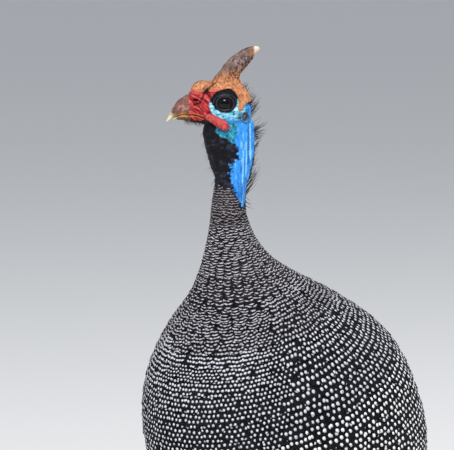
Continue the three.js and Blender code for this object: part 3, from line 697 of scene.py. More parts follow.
class Coat:
    """Feathers on one surface. Each is a thin closed vane that bends with the surface and has its marks."""

    ALONG = 7
    ACROSS = 6
    MARK_SIDES = 9
    CURVE = 0.045
    BAKE_SIZE = 0.003

    def __init__(self, surface, t0, a0, dt, length, half, lift, rise, patch, tip=1.0):
        count = len(t0)
        given = (t0, a0, dt, length, half, lift, rise)
        rows = (np.broadcast_to(np.asarray(v, float), count).copy() for v in given)
        self.t0, self.a0, self.dt, self.length, self.half, self.lift, self.rise = rows
        self.surface, self.patch, self.tip = surface, np.asarray(patch, float), tip
        middle, h = self.t0 + self.dt * 0.6, LANE_STEP
        span = surface(middle, self.a0 + h) - surface(middle, self.a0 - h)
        self.per_lane = np.linalg.norm(span, axis=-1) / (2 * h)
        self.lean = rng.normal(0, 0.12, count)
        self.twist = rng.normal(0, 0.05, count)

    def width(self, s):
        """The share of a vane's half width at each place along it."""
        body = 0.5 + 0.5 * np.sin(np.clip(s / 0.62, 0, 1) * PI / 2)
        rounding = np.sqrt(np.clip(1 - (np.clip(s - 0.6, 0, 1) / 0.405) ** 2 / self.tip, 0.015, 1))
        return body * rounding

    def at(self, index, s, u, above=0.0):
        """Points on the vanes' upper faces: s from 0 at the root to 1 at the tip, u from -1 to 1 across."""
        half = self.half[index] * self.width(s)
        side = (u + self.twist[index] * s) * half / self.per_lane[index]
        t, a = self.t0[index] + self.dt[index] * s, self.a0[index] + side
        n = normal_of(self.surface, t, a)
        height = self.lift[index] + self.rise[index] * (s - 1) + self.lean[index] * u
        height = height - self.CURVE * half * u * u + 0.25 * self.half[index] * 0.1 * s**6
        return self.surface(t, a) + n * (height + above)[..., None], n

    def shells(self, name, material, index, vertices, one, n, local, uv=None):
        """One mesh of many like shells, each turned to face out along n, with its place in the bake map."""
        p = vertices[:, one[0]]
        facing = np.sum(np.cross(p[:, 1] - p[:, 0], p[:, 2] - p[:, 0]) * n[:, 0], -1)
        faces = one[None] + (np.arange(len(vertices)) * vertices.shape[1])[:, None, None]
        faces = np.where((facing < 0)[:, None, None], faces[:, :, ::-1], faces).reshape(-1, one.shape[1])
        bake = self.patch[index][:, None] + (local[None] - 0.5) * self.BAKE_SIZE
        return mesh_object(name, vertices.reshape(-1, 3), faces, material, uv=uv, bake=bake.reshape(-1, 2))

    def vanes(self, name, material, thick=0.28):
        """A thin closed shell for each feather, with its edges a little frayed."""
        count, rows, columns = len(self.t0), self.ALONG, self.ACROSS
        s = np.linspace(0, 1, rows + 1) ** 0.85
        s, u = (v.ravel() for v in np.meshgrid(s, np.linspace(-1, 1, columns + 1), indexing="ij"))
        index = np.repeat(np.arange(count), s.size)
        edge = np.tile((np.abs(u) > 0.99) | (s > 0.99), count)
        fray = np.where(edge, rng.normal(0, 0.018, len(index)), 0)
        top, n = self.at(index, np.clip(np.tile(s, count) + fray * 0.6, 0, 1), np.tile(u, count) * (1 + fray))
        low = top - n * (thick * (1 - 0.55 * edge))[:, None]
        top, low, n = (v.reshape(count, s.size, 3) for v in (top, low, n))
        i, j = np.meshgrid(np.arange(rows), np.arange(columns), indexing="ij")
        a = (i * (columns + 1) + j).ravel()
        face = np.stack([a, a + 1, a + columns + 2, a + columns + 1], -1)
        turn = columns + 1
        right, left = np.arange(1, rows + 1) * turn + columns, np.arange(rows - 1, 0, -1) * turn
        end = rows * turn + np.arange(columns - 1, -1, -1)
        border = np.concatenate([np.arange(turn), right, end, left])
        after = np.roll(border, -1)
        wall = np.stack([after, border, border + s.size, after + s.size], -1)
        one = np.concatenate([face, face[:, ::-1] + s.size, wall])
        local = np.tile(np.stack([(u + 1) / 2, s], -1), (2, 1))
        size = np.stack([self.half * 2, self.length], -1) / 10
        uv = local[None] * size[:, None] + rng.uniform(0, 50, (count, 1, 2))
        vertices = np.concatenate([top, low], axis=1)
        return self.shells(name, material, np.arange(count), vertices, one, n, local, uv.reshape(-1, 2))

    def marks(self, name, material, index, along, across, high, wide, low_lift, top_lift, bend):
        """Low domed marks on the vanes, in millimetres: along from the tip, across from the shaft."""
        if len(index) == 0:
            return None
        sides, per = self.MARK_SIDES, self.MARK_SIDES + 1
        c, s = np.cos(circle(sides)[0]), np.sin(circle(sides)[0])
        offset_u = np.concatenate([[0], c])[None] * wide[:, None] + across[:, None]
        offset_s = np.concatenate([[0], s])[None] * high[:, None] + along[:, None]
        offset_s = offset_s + bend * offset_u**2 / self.half[index][:, None]
        whole = np.repeat(index, per).reshape(-1, per)
        along_s = np.clip(1 - offset_s / self.length[whole], 0, 0.995)
        half = np.maximum(self.half[whole] * self.width(along_s), 0.2)
        u = np.clip(offset_u / half, -0.97, 0.97)
        above = np.full(whole.shape, low_lift)
        above[:, 0] = top_lift
        top, n = self.at(whole.ravel(), along_s.ravel(), u.ravel(), above.ravel())
        top, n = top.reshape(-1, per, 3), n.reshape(-1, per, 3)
        bottom = top[:, :1] - n[:, :1] * (top_lift - low_lift + 0.12)
        k = np.arange(sides)
        upper = np.stack([np.zeros(sides, int), 1 + k, 1 + (k + 1) % sides], -1)
        lower = np.stack([np.full(sides, per), 1 + (k + 1) % sides, 1 + k], -1)
        one = np.concatenate([upper, lower])
        local = np.concatenate([[[0.5, 0.5]], np.stack([0.5 + c / 2, 0.5 + s / 2], -1), [[0.5, 0.5]]])
        return self.shells(name, material, index, np.concatenate([top, bottom], axis=1), one, n, local)


def wear(piece, *nodes):
    """The piece rides on the one body and stands for the nodes."""
    if piece is None:
        return
    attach(piece, "root")
    if nodes:
        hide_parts(*nodes)


def folded(a):
    """The angle from the back, 0 to pi, on either side."""
    return np.abs((np.asarray(a) + PI) % (2 * PI) - PI)


def breast_share(a):
    return smoothstep(95, 150, np.degrees(folded(a)))


# Up to this ring each feather has one bar; marks at least this much wider than high are bars
NECK_ROWS = 2.4
BAR_STRETCH = 1.9
JITTER = 0.075
BODY_BINS = [0, 0.9, 2.2, 3.6, 5, 6.2, 7.2, 8.2, 9.2, 10.4, 12, 16]
BODY_TONES = [DIM_MARK, GREY_MARK, GREY_MARK, GREY_MARK, LIGHT_MARK, LIGHT_MARK] + [WHITE_MARK] * 5


def side_pitch(t):
    return np.interp(t, [0, 2, 3.5, 4.5, 5.5, 6.5, 8, 11, 15], [2.1, 2.2, 2.7, 3.6, 4.7, 5.7, 6.1, 6.2, 5.2])


def spot_pitch(t, a):
    """Millimetres from one white mark to the next, by ring number and angle."""
    side = side_pitch(t)
    breast = np.interp(t, [0, 2, 4, 5.5, 7, 8.5, 11, 15], [2.1, 2.2, 2.5, 3.3, 4.3, 4.9, 5.3, 4.9])
    return side + (breast - side) * breast_share(a)


def spot_stretch(t, a):
    """How much wider than high a mark is: bars on the neck, dots on the body."""
    return np.interp(t - 1.2 * breast_share(a), [0, 2.5, 3.4, 4.2, 5.0], [3.3, 2.9, 2.1, 1.35, 0.95])


def row_spacing(t):
    """One bar to a feather on the upper neck, two rows of marks from there on."""
    return side_pitch(t) * np.where(np.asarray(t) < NECK_ROWS, 1, 2)


def feather_spacing(t):
    """Millimetres from one feather to the next round a row."""
    return np.interp(t, [0, 2.5, 4, 5.5, 7, 15], [5.0, 6.2, 8.6, 13.0, 18.6, 17.5])


def drape_table():
    """How far the folded wing lifts the feathers over it, by ring number and angle from the back."""
    along, down = np.meshgrid(np.linspace(0, 1, 80), np.linspace(0, 1, 30), indexing="ij")
    ring, angle = (v.ravel() for v in wing_place(along, down))
    rise = (WING_THICK + 0.6) * (bulge(down) * bulge(along * 0.9)).ravel()
    t, a = np.meshgrid(np.linspace(0, LAST_RING, 151), np.linspace(0, PI, 91), indexing="ij")
    table = np.zeros(t.shape)
    for i in range(len(t)):
        gap = (t[i][:, None] - ring) ** 2 + ((a[i][:, None] - angle) * 2.6) ** 2
        nearest = gap.argmin(axis=1)
        table[i] = rise[nearest] * smoothstep(0.5, 0.05, np.sqrt(gap[np.arange(len(nearest)), nearest]))
    for _ in range(4):
        edge = np.pad(table, 2, mode="edge")
        table = sum(edge[k : k + 151, 2:-2] + edge[2:-2, k : k + 91] for k in range(5)) / 10
    return table


DRAPE = drape_table()


def coat_surface(t, a):
    """Where the tips of the body's feathers lie: the body's rings, lifted over the folded wings."""
    t, a = alike(t, a)
    x, y = np.clip(t / LAST_RING, 0, 1) * 149.999, folded(a) / PI * 89.999
    i, j = x.astype(int), y.astype(int)
    f, g = x - i, y - j
    rise = (DRAPE[i, j] * (1 - f) + DRAPE[i + 1, j] * f) * (1 - g)
    rise = rise + (DRAPE[i, j + 1] * (1 - f) + DRAPE[i + 1, j + 1] * f) * g
    return trunk(t, a, rise)


def row_numbers(surface, lane, start, stop, exposure):
    """Ring numbers, one row an exposure further than the last along a lane."""
    t, numbers = start, []
    while t < stop:
        numbers.append(t)
        t += exposure(t) / ring_length(surface, t, lane)
    return numbers


def under_flight(t, a):
    """True where the long feathers of the folded wing hide the body well inside their edges."""
    along, down = np.meshgrid(np.linspace(0.6, 0.92, 20), np.linspace(0.1, 0.9, 16), indexing="ij")
    ring, angle = wing_place(along, down)
    gap = (t[:, None] - ring.ravel()[None]) ** 2 + ((folded(a)[:, None] - angle.ravel()[None]) * 2.6) ** 2
    return gap.min(axis=1) < 0.05


def body_feathers():
    """Rows from the neck to the vent, each staggered against the last."""
    data = []
    angles = np.linspace(0, 2 * PI, 181)
    for k, t in enumerate(row_numbers(trunk, PI / 2, 0.1, 14.9, row_spacing)):
        lengths = run_lengths(coat_surface(t, angles))
        girth = lengths[-1]
        count = max(8, int(round(girth / feather_spacing(t))))
        astray = rng.normal(0, 0.13 if t < 5.5 else 0.04, count)
        places = (np.arange(count) + (0.5 if k % 2 else 0.0) + astray) / count * girth
        loose = 0.035 if t < 5 else 0.014
        for a in np.interp(places % girth, lengths, angles):
            data.append((t + rng.normal(0, loose), a, girth / count, k))
    return np.array(data)


def dress_body():
    t, a, spacing, row = body_feathers().T
    seen = ~under_flight(t, a)
    t, a, spacing, row = t[seen], a[seen], spacing[seen], row[seen]
    step = ring_length(trunk, t, a, 0.02)
    shown = row_spacing(t) * step / ring_length(trunk, t, np.full(len(t), PI / 2), 0.02)
    length = np.maximum(row_spacing(t) * 2.3, shown * 1.7)
    root = t - 0.35 * length / step
    reach = np.minimum(length / step, LAST_RING - root)
    root = np.maximum(root, 0.0)
    rise = np.interp(t, [0, 4, 7], [0.5, 0.8, 1.5])
    patch = np.stack([0.02 + 0.96 * a / (2 * PI), 0.02 + 0.62 * t / LAST_RING], -1)
    for number, (low, high, tone) in enumerate(zip(BODY_BINS, BODY_BINS[1:], BODY_TONES)):
        pick = (t >= low) & (t < high)
        given = (v[pick] for v in (root, a, reach, length, spacing * 0.64, np.zeros(len(t)), rise, patch))
        coat = Coat(coat_surface, *given)
        if high < 3:
            coat.ALONG, coat.ACROSS = 4, 4
        material, thick = VANE_NECK if high < 4 else VANE_DARK, 0.16 if high < 6 else 0.28
        wear(coat.vanes(f"feathers_body_{number}", material, thick))
        pitch, stretch = spot_pitch(t[pick], a[pick]), spot_stretch(t[pick], a[pick])
        spots(coat, Lattice(pitch, stretch, shown[pick], spacing[pick], row[pick]), f"body_{number}", tone)


class Lattice:
    """Where the marks of a feather lie, so that they run on evenly from one feather to the next."""

    def __init__(self, pitch, stretch, shown, across, row):
        pitch, self.stretch, self.shown, across, self.row = alike(pitch, stretch, shown, across, row)
        self.rows = np.maximum(1, np.round(self.shown / pitch))
        self.step = self.shown / self.rows
        self.lanes = np.maximum(1, np.round(across / (pitch * np.maximum(1, 0.62 * self.stretch))))
        self.bars = self.stretch > BAR_STRETCH
        self.lane = across / self.lanes
        self.pitch = np.minimum(self.step, self.lane * 1.15)

    def shift(self, r):
        """The part of a lane by which row r from the tip is moved."""
        whole = self.row * self.rows - r
        shift = (0.5 * (whole % 2) - (self.row % 2) * self.lanes / 2) % 1.0
        return np.where(self.bars & (self.lanes < 2), 0.0, shift)


def spots(coat, grid, name, tone=WHITE_MARK):
    """White marks with black rims over the part of each vane that shows."""
    index, along, across = [], [], []
    for r in range(16):
        place = grid.step * (r + 0.5)
        pick = np.flatnonzero((place < grid.shown + 0.55 * grid.step) & (place < coat.length * 0.94))
        if len(pick) == 0:
            break
        for lane in range(-7, 8):
            index.append(pick)
            along.append(place[pick] + rng.normal(0, JITTER, len(pick)) * grid.step[pick])
            middle = grid.lane[pick] * (lane + grid.shift(r)[pick])
            across.append(middle + rng.normal(0, JITTER, len(pick)) * grid.step[pick])
    index, along, across = (np.concatenate(v) for v in (index, along, across))
    count, stretch, lane = len(index), grid.stretch[index], grid.lane[index]
    bars = stretch > BAR_STRETCH
    high = grid.pitch[index] * np.interp(stretch, [1, 2.2, 3.3], [0.315, 0.26, 0.2])
    high = high * rng.uniform(0.9, 1.1, count)
    wide = np.where(bars, lane * 0.5, high * stretch * rng.uniform(0.94, 1.05, count))
    room = coat.half[index] * coat.width(np.clip(1 - along / coat.length[index], 0, 1))
    wide = wide * np.where(bars, rng.uniform(0.95, 1.18, count), 1)
    across = across + np.where(bars, lane * rng.uniform(-0.14, 0.14, count), 0)
    keep = np.abs(across) + wide * np.where(stretch > 1.5, 0.1, 0.6) < room
    index, along, across, high, wide, stretch = (v[keep] for v in (index, along, across, high, wide, stretch))
    rim = np.clip(high * 0.32, 0.16, 0.6)
    bend = np.interp(stretch, [1.1, 2.0], [0.08, 0.35])[:, None]
    domes = (("rings", BLACK_RING, rim, 0.0, 0.07), ("spots", tone, 0, 0.05, 0.2))
    for word, material, more, low, top in domes:
        size = (high + more, wide + more)
        wear(coat.marks(f"{word}_{name}", material, index, along, across, *size, low, top, bend))


def neck_surface(up, angle):
    """The bare neck's skin in the model's frame, by height from the eyes and angle from the throat."""
    up, angle = alike(up, angle)
    return to_world(neck_point(up, np.degrees(angle), -0.15)[0])


neck_surface.centre = lambda point: point * [0, 0, 1] + [0.5, -112.5, 0]


def dress_neck_foot():
    """The smallest barred feathers, which thin out up the bare neck and leave its blue strips clear."""
    up, angle, count = [], [], 26
    for k, row in enumerate(np.arange(-66, -88, -2.1)):
        up += list(row + rng.normal(0, 0.3, count))
        angle += list((np.arange(count) + 0.5 * (k % 2) + rng.normal(0, 0.1, count)) / count * 2 * PI)
    up, angle = np.array(up), (np.array(angle) + PI) % (2 * PI) - PI
    first, last = columns_at(BLUE_STRIP, up, 1, 2)
    turn = np.degrees(np.abs(angle))
    clear = (turn > first - 8) & (turn < last + 4) & (up > -86)
    keep = ~clear & (rng.uniform(0, 1, len(up)) < smoothstep(-64, -74, up) + 0.15)
    up, angle = up[keep], angle[keep]
    patch = np.stack([0.1 + 0.8 * (angle + PI) / (2 * PI), np.full(len(up), 0.985)], -1)
    coat = Coat(neck_surface, up, angle, -5.2, 5.2, 2.1, 0.55, 0.5, patch)
    wear(coat.vanes("feathers_neck_foot", VANE_NECK, 0.2))
    spots(coat, Lattice(2.1, 3.0, np.full(len(up), 2.1), 4.0, 0), "neck_foot", DIM_MARK)


def body_skin():
    """The surface under the feathers, from inside the bare neck to the vent."""
    t, angle = np.linspace(0.05, LAST_RING, 110)[:, None], circle(96)
    depth = 1.6 + 1.6 * smoothstep(1, 6, t)
    rings = trunk(t, angle) - normal_of(trunk, t, angle) * depth[..., None]
    wear(loft_object("skin_body", rings, DOWN), "neck_feathered", "torso", "tail")
    for word, side in SIDES:
        along, down = np.linspace(0.02, 0.86, 50)[:, None], np.linspace(0.04, 0.94, 24)[None]
        surface = wing_surface(side)
        normal = normal_of(surface, along, down)
        outer = surface(along, down) - normal * 1.2
        rings = np.concatenate([outer, (outer - normal * 5.0)[:, ::-1]], axis=1)
        wear(loft_object(f"skin_wing_{word}", rings, DOWN), f"wing_{word}")
        thigh = thigh_surface(side)(np.linspace(0.0, len(THIGH) - 1, 40)[:, None], circle(40))
        middle = thigh.mean(axis=1, keepdims=True)
        reach = np.maximum(np.linalg.norm(thigh - middle, axis=-1), 4)[..., None]
        thigh = middle + (thigh - middle) * (1 - 1.6 / reach)
        wear(loft_object(f"skin_thigh_{word}", thigh, DOWN), f"thigh_{word}")


# Head and bare neck: one skin, with its folds and its colours by region

CREASE = [(15.6, 12.5), (16.6, 8.6), (18, 4), (20.5, 0.2), (25, -2)]
GAPE = [(29, -9.8), (23, -10.2), (17.2, -12.3)]
RED_PATCH = [
    (29.6, 7.1), (26.6, 10.9), (19, 10.5), (14.8, 7.6), (10.5, 10.5), (4.6, 12.6), (0.4, 12.8), (3.8, 10.5),
    (7.2, 8), (11, 4.6), (12.7, 1.7), (13.1, -2.5), (11.4, -6.7), (7.2, -11.3), (5.9, -14.3), (13.9, -15.1),
    (17.3, -13.4), (19, -14.7), (24.9, -14.3), (28, -10.9), (29.8, -5.9), (30, 0.8),
]
CHEEK_PATCH = [
    (13.5, 2.6), (10.8, 0.6), (8.4, -4), (3, -7.6), (-4.4, -7.2), (-8.6, -2.5), (-9.2, 4), (-10.6, 3.4),
    (-15.6, -0.4), (-18.6, 1.2), (-21.9, -3.4), (-24.3, -11), (-25.8, -20), (-27, -34), (-10.4, -34.5),
    (-4.6, -30.4), (3, -26.9), (7.6, -23.1), (6, -15), (11, -8.5), (13.2, -3),
]
# Blue strip down the side of the neck: up, first angle from the throat, last angle
BLUE_STRIP = [
    [-100, 100, 90], [-86.5, 96, 98], [-81, 80, 116], [-75, 72, 138], [-68, 60, 148], [-60.5, 67, 148],
    [-56, 80, 149], [-50, 86, 153], [-47, 103, 158], [-41, 107, 164], [-35, 103, 176], [-30.4, 89, 180],
    [-26.9, 69, 180], [-23, 57, 180],
]


def distance_to(line, x, z, closed=False):
    """The distance to a line of points, and how far along it the nearest place is, from 0 to 1."""
    points = np.array(line + line[:1] if closed else line, float)
    best, share = np.full(x.shape, 1e9), np.zeros(x.shape)
    for i in range(len(points) - 1):
        a, step = points[i], points[i + 1] - points[i]
        f = np.clip(((x - a[0]) * step[0] + (z - a[1]) * step[1]) / (step @ step), 0, 1)
        d = np.hypot(x - a[0] - f * step[0], z - a[1] - f * step[1])
        nearer = d < best
        best, share = np.where(nearer, d, best), np.where(nearer, (i + f) / (len(points) - 1), share)
    return best, share


def inside(outline, x, z, soft, ragged):
    """1 inside the outline and 0 outside, over a soft and ragged edge."""
    d = distance_to(outline, x, z, closed=True)[0]
    within = np.zeros(x.shape, bool)
    for (x0, z0), (x1, z1) in zip(outline, outline[1:] + outline[:1]):
        crosses = (z0 > z) != (z1 > z)
        within ^= crosses & (x < (x1 - x0) * (z - z0) / (z1 - z0 + 1e-9) + x0)
    return smoothstep(-soft, soft, np.where(within, d, -d) + ragged)


def neck_angle(p):
    """Degrees round the bare neck from the throat, 90 on the bird's left."""
    front, back, half = columns_at(BARE_NECK, p[:, 2], 1, 2, 3)
    turned = neck_turn(p[:, 2])
    x = p[:, 0] - (front + back) / 2
    ahead = x * np.cos(turned) + p[:, 1] * np.sin(turned)
    left = p[:, 1] * np.cos(turned) - x * np.sin(turned)
    return np.degrees(np.arctan2(left / half, ahead / ((front - back) / 2)))


def face_lines(x, z):
    """Distances to the crease under the casque, the gape and the nostril, and the place along the crease."""
    crease, along = distance_to(CREASE, x, z)
    nostril = np.hypot((x - 23.4 - 0.55 * (z - 2.2)) / 2.4, (z - 2.4) / 1.15)
    return crease, distance_to(GAPE, x, z)[0], nostril, along


def red_folds(x, y, z):
    return noise_at((x + z) * 0.3, y * 0.4, (z - 0.75 * x) * 1.6, 1.7, 18)


def cheek_streaks(x, y, z):
    return noise_at(x + z * 0.5, y, z * 2.4 - x, 2.0, 14)


def head_masks(p):
    """Shares from 0 to 1 of the head's regions, and the angle round the neck."""
    x, y, z = p.T
    rough = noise(p, 1.6, 3) * 0.9
    angle = neck_angle(p)
    turn = np.abs(angle)
    first, last = columns_at(BLUE_STRIP, z, 1, 2)
    first = first - 48 * (y < 0) * smoothstep(-80, -72, z) * smoothstep(-58, -64, z)
    wander = noise(p, 2.6, 5) * 12 + noise(p, 1.1, 6) * 16 * smoothstep(-42, -50, z)
    neck = smoothstep(-2.5, 2.5, turn - first + wander) * smoothstep(-2.5, 2.5, last - turn + wander)
    neck *= smoothstep(-24, -27, z)
    cheek = inside(CHEEK_PATCH, x, z, 0.6, rough) * smoothstep(-33.5, -31, z)
    streaky = noise_at(x * 1.5 + z * 0.5, y, z * 0.7, 1.5, 9) * (0.03 + 0.13 * smoothstep(1, -5, z))
    orbit = 1 - smoothstep(0.93, 1.03, np.hypot((x - 0.4) / 10.8, (z - 2.0) / 9.6) + streaky)
    red = inside(RED_PATCH, x, z, 0.45, rough * 0.6) * (1 - orbit)
    return {"angle": angle, "blue": np.maximum(neck, cheek), "orbit": orbit, "red": red, "cheek": cheek}


def blue_skin(p):
    """Colours of the neck's blue strips and the cheek's teal and cyan, with painted highlights and shade
    along the folds.
    """
    x, y, z = p.T
    nape = noise(p * [1, 1, 0.4], 2.2, 11) + 0.25 * smoothstep(-45, -75, z)
    teal = smoothstep(-13, -18.5, z) * smoothstep(-13, -8, x + 0.25 * (z + 20))
    streaks = smoothstep(0.0, 0.45, cheek_streaks(x, y, z))
    # Near-white cyan patches under the eye, painted as highlights.
    cheek_highlight = smoothstep(0.05, 0.4, noise_at(x * 0.6, y, z * 1.5, 1.7, 15)) * smoothstep(-14.5, -11, z)
    lines = smoothstep(0.1, 0.4, -noise_at(x * 0.7, y, z * 1.6 + x * 0.3, 1.6, 19))
    dark = smoothstep(0.18, 0.4, noise_at(x * 1.1, y, z * 0.8 + x * 0.5, 1.5, 16))
    # Darker blue painted in the neck's upright groove, as painted shade in the fold.
    groove_shade = near(x, -19.8, 0.5) * smoothstep(-15, -20, z) * smoothstep(-56, -48, z)
    blue = painted(
        flat(NECK_BLUE, p),
        (NAPE_BLUE, smoothstep(0.1, 0.7, nape)),
        (PALE_BLUE, 0.8 * smoothstep(0.05, 0.6, noise(p * [1, 1, 0.22], 1.5, 12))),
        (CHEEK, smoothstep(-15, -12, z) * smoothstep(-19, -15, x)),
        (TEAL, teal * (0.75 + 0.25 * noise(p, 2, 13))),
        ((70, 190, 190), 0.85 * streaks * teal),
        ((206, 246, 248), 0.8 * cheek_highlight * smoothstep(-19, -14, x)),
        ((16, 74, 104), 0.85 * lines * smoothstep(-22, -18, x) * smoothstep(-18, -12, z)),
        ((14, 40, 62), 0.75 * dark * np.clip(teal + smoothstep(5, 8, x), 0, 1)),
        ((24, 66, 128), 0.8 * groove_shade),
    )
    # Pale blue lines painted down the neck's upright folds, as highlights on their ridges.
    for place, low, high in ((-21.2, -50, -18), (-15.0, -70, -36), (-17.6, -62, -30)):
        line = near(x, place + 0.9 * noise(p, 12, 17), 0.45)
        line = line * smoothstep(low, low + 5, z) * smoothstep(high, high - 4, z)
        blue = painted(blue, ((158, 214, 250), 0.8 * line))
    return blue


def head_colors(p, masks):
    x, y, z = p.T
    # Blotches of bluish-grey sheen painted on the black throat skin, as painted highlights.
    painted_sheen = smoothstep(0.0, 0.6, noise(p * [1, 1, 1.4], 3.2, 24)) * smoothstep(-22, -32, z)
    # Pale pink is painted on the tops of the red skin's folds as highlights and maroon in their hollows as
    # painted shade, by the same folds that raise the skin.
    fold = red_folds(x, y, z)
    red = painted(
        flat(RED_SKIN, p),
        ((208, 92, 88), smoothstep(0.05, 0.5, fold)),
        ((74, 26, 34), smoothstep(0.05, 0.45, -fold)),
        ((196, 96, 64), smoothstep(8.5, 11, z) * 0.6),
    )
    colors = painted(
        flat(BLACK_SKIN, p) * (1 + 0.35 * noise(p, 3, 1))[:, None],
        ((58, 60, 78), 0.55 * painted_sheen),
        (blue_skin(p), masks["blue"]),
        (red, masks["red"]),
        ((15, 15, 20), masks["orbit"]),
    )
    rim = np.hypot(x / 7.2, z / 6.2)
    crease, mouth, nostril, along = face_lines(x, z)
    ear = np.hypot(x - EAR["forward"], (z - EAR["up"]) * 0.95)
    colors = painted(
        colors,
        ((70, 74, 82), 0.85 * near(rim, 1.0, 0.04) * masks["orbit"]),
        ((66, 72, 84), 0.85 * near(rim, 1.3, 0.04) * smoothstep(-1, 2, z) * masks["orbit"]),
        ((12, 11, 14), near(crease, 0, 0.75) * (1 - 0.4 * along)),
        ((48, 20, 22), near(mouth, 0, 0.5)),
        ((196, 112, 62), 0.7 * near(mouth, 1.1, 0.5) * (x > 17)),
        ((20, 8, 10), 1 - smoothstep(0.8, 1.15, nostril)),
        ((92, 92, 100), 1 - smoothstep(3.0, 3.6, ear)),
        ((36, 34, 40), near(ear - 0.5 * (x - EAR["forward"]), 2.4, 0.9) * 0.7),
        ((58, 60, 68), 0.7 * smoothstep(-19, -21.5, x) * smoothstep(-4, 0, z)),
    )
    return np.clip(colors, 0, 1)


def head_relief(p, masks):
    """Millimetres that the skin stands out by its folds and pores."""
    x, y, z = p.T
    upright = smoothstep(-15, -20, z) * smoothstep(-56, -48, z)
    throat = smoothstep(60, 40, np.abs(masks["angle"])) * smoothstep(-24, -30, z)
    crease, mouth, nostril, _ = face_lines(x, z)
    ear = np.hypot(x - EAR["forward"], z - EAR["up"])
    height = 0.2 * noise(p, 1.3, 21) + 0.22 * noise(p, 3.4, 22)
    height += 0.5 * masks["red"] * red_folds(x, y, z)
    height += 0.45 * masks["blue"] * smoothstep(-20, -30, z) * noise_at(x, y, z * 0.22, 2.1, 12)
    height += 0.4 * masks["cheek"] * cheek_streaks(x, y, z) * smoothstep(-6, -12, z)
    height += (0.6 * near(x, -21.6, 1.0) - 0.7 * near(x, -19.8, 0.8)) * upright
    height += 0.55 * near(x, -15.0, 0.9) * smoothstep(-72, -64, z) * smoothstep(-34, -40, z)
    height += 0.5 * throat * noise_at(x * 0.5, y, z * 1.6, 3.0, 23)
    height += -1.1 * near(crease, 0, 0.7) + 0.5 * near(crease, 1.6, 0.8) * (x > 14)
    height += -0.9 * near(mouth, 0, 0.45) + 0.45 * near(mouth, 1.2, 0.6)
    height += -1.5 * (1 - smoothstep(0.6, 1.15, nostril)) + 0.5 * near(nostril, 1.5, 0.3)
    hollow = 0.8 * (1 - smoothstep(0, 2.2, ear)) - 1.1 * (1 - smoothstep(2.4, 3.4, ear))
    return height + hollow * (np.abs(y) > 6)


def head_skin():
    shells = [loft(cross_rings(SKULL, 60, 64, 0.52, 2.3)), loft(neck_rings(90, 72))]
    for _, side in SIDES:
        shells += [
            ball((7, side * 9.6, 8.6), (8.5, 3.6, 3.2)),
            ball((1, side * 9.4, -12), (10, 4.6, 5.5)),
            ball((20, side * 5.6, -2.5), (6.5, 3, 5.5)),
        ]
    skin = joined("skin_head", shells, SKIN)
    remesh(skin, 0.55)
    relax(skin, 6)
    p = coords(skin)
    x, y, z = p.T
    out = np.abs(y)
    sunk = 1 - (x / 10.4) ** 2 - (z / 9.4) ** 2
    socket = 16.6 - 3.4 * np.sqrt(np.maximum(sunk, 0))
    out = np.where((sunk > 0) & (out > 9), np.minimum(out, socket), out)
    dome = (EYE["radius"] + EYE["lid"]) ** 2 - x * x - z * z
    lid = EYE["out"] + np.sqrt(np.maximum(dome, 0))
    p[:, 1] = np.sign(y) * np.where((dome > 0) & (out > 9), np.maximum(out, lid), out)
    set_coords(skin, p)
    relax(skin, 2)
    p = coords(skin)
    masks = head_masks(p)
    relief = head_relief(p, masks) * (1 - 0.8 * masks["orbit"])
    lids = np.hypot(p[:, 0] / 8.3, (p[:, 2] - 0.4) / 7.3)
    folds = (near(lids, 1.12, 0.06) - near(lids, 0.98, 0.05)) * smoothstep(-3, 1, p[:, 2])
    relief += masks["orbit"] * 0.5 * folds
    p = p + normals(skin) * relief[:, None]
    colors = head_colors(p, masks)
    x, y, z = p.T
    oval = np.hypot(x / EYE["long"], z / EYE["high"])
    opening = (1 - smoothstep(0.97, 1.06, oval)) * (np.abs(y) > 9)
    floor = EYE["out"] + 5.2
    p[:, 1] = np.where(opening > 0, np.sign(y) * (np.abs(y) * (1 - opening) + floor * opening), y)
    finish_head_piece(skin, p, painted(colors, ((6, 6, 8), opening)))
    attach(skin, "root")
    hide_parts("head", "neck_bare")


def lid_rings():
    """The moist edge of the lids and a fold over it, on each eye's ball."""
    a, b = circle(72).T, circle(10)
    parts = []
    for _, side in SIDES:
        for grow, thick, lift in ((1.0, 0.34, 0.35), (1.3, 0.42, 0.75)):
            x, z = (EYE["long"] * grow + 0.15) * np.cos(a), (EYE["high"] * grow + 0.15) * np.sin(a)
            r = EYE["radius"] + lift
            y = EYE["out"] + np.sqrt(np.maximum(r * r - x * x - z * z, 0.5))
            n = unit(np.concatenate([x, y - EYE["out"], z], -1))[:, None]
            middle = np.concatenate([x, y, z], -1)[:, None]
            ahead = unit(np.roll(middle, -1, 0) - np.roll(middle, 1, 0))
            across = np.cross(ahead, n)
            fade = 1.0 if grow == 1.0 else 0.25 + 0.75 * smoothstep(-2, 2.5, z)[..., None]
            ring = middle + thick * fade * (n * np.cos(b)[..., None] + across * np.sin(b)[..., None])
            ring[..., 1] *= side
            parts.append((ring.reshape(-1, 3), torus_faces(72, 10)[:, ::side], np.zeros((0, 3), int)))
    edge = speckled_material("lid_edge", srgb(44, 47, 54), srgb(98, 104, 114), 900, 0.3, 0.2)
    rims = joined("lid_edges", parts, edge)
    recalc(rims)
    place_head_piece(rims)
    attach(rims, "root")


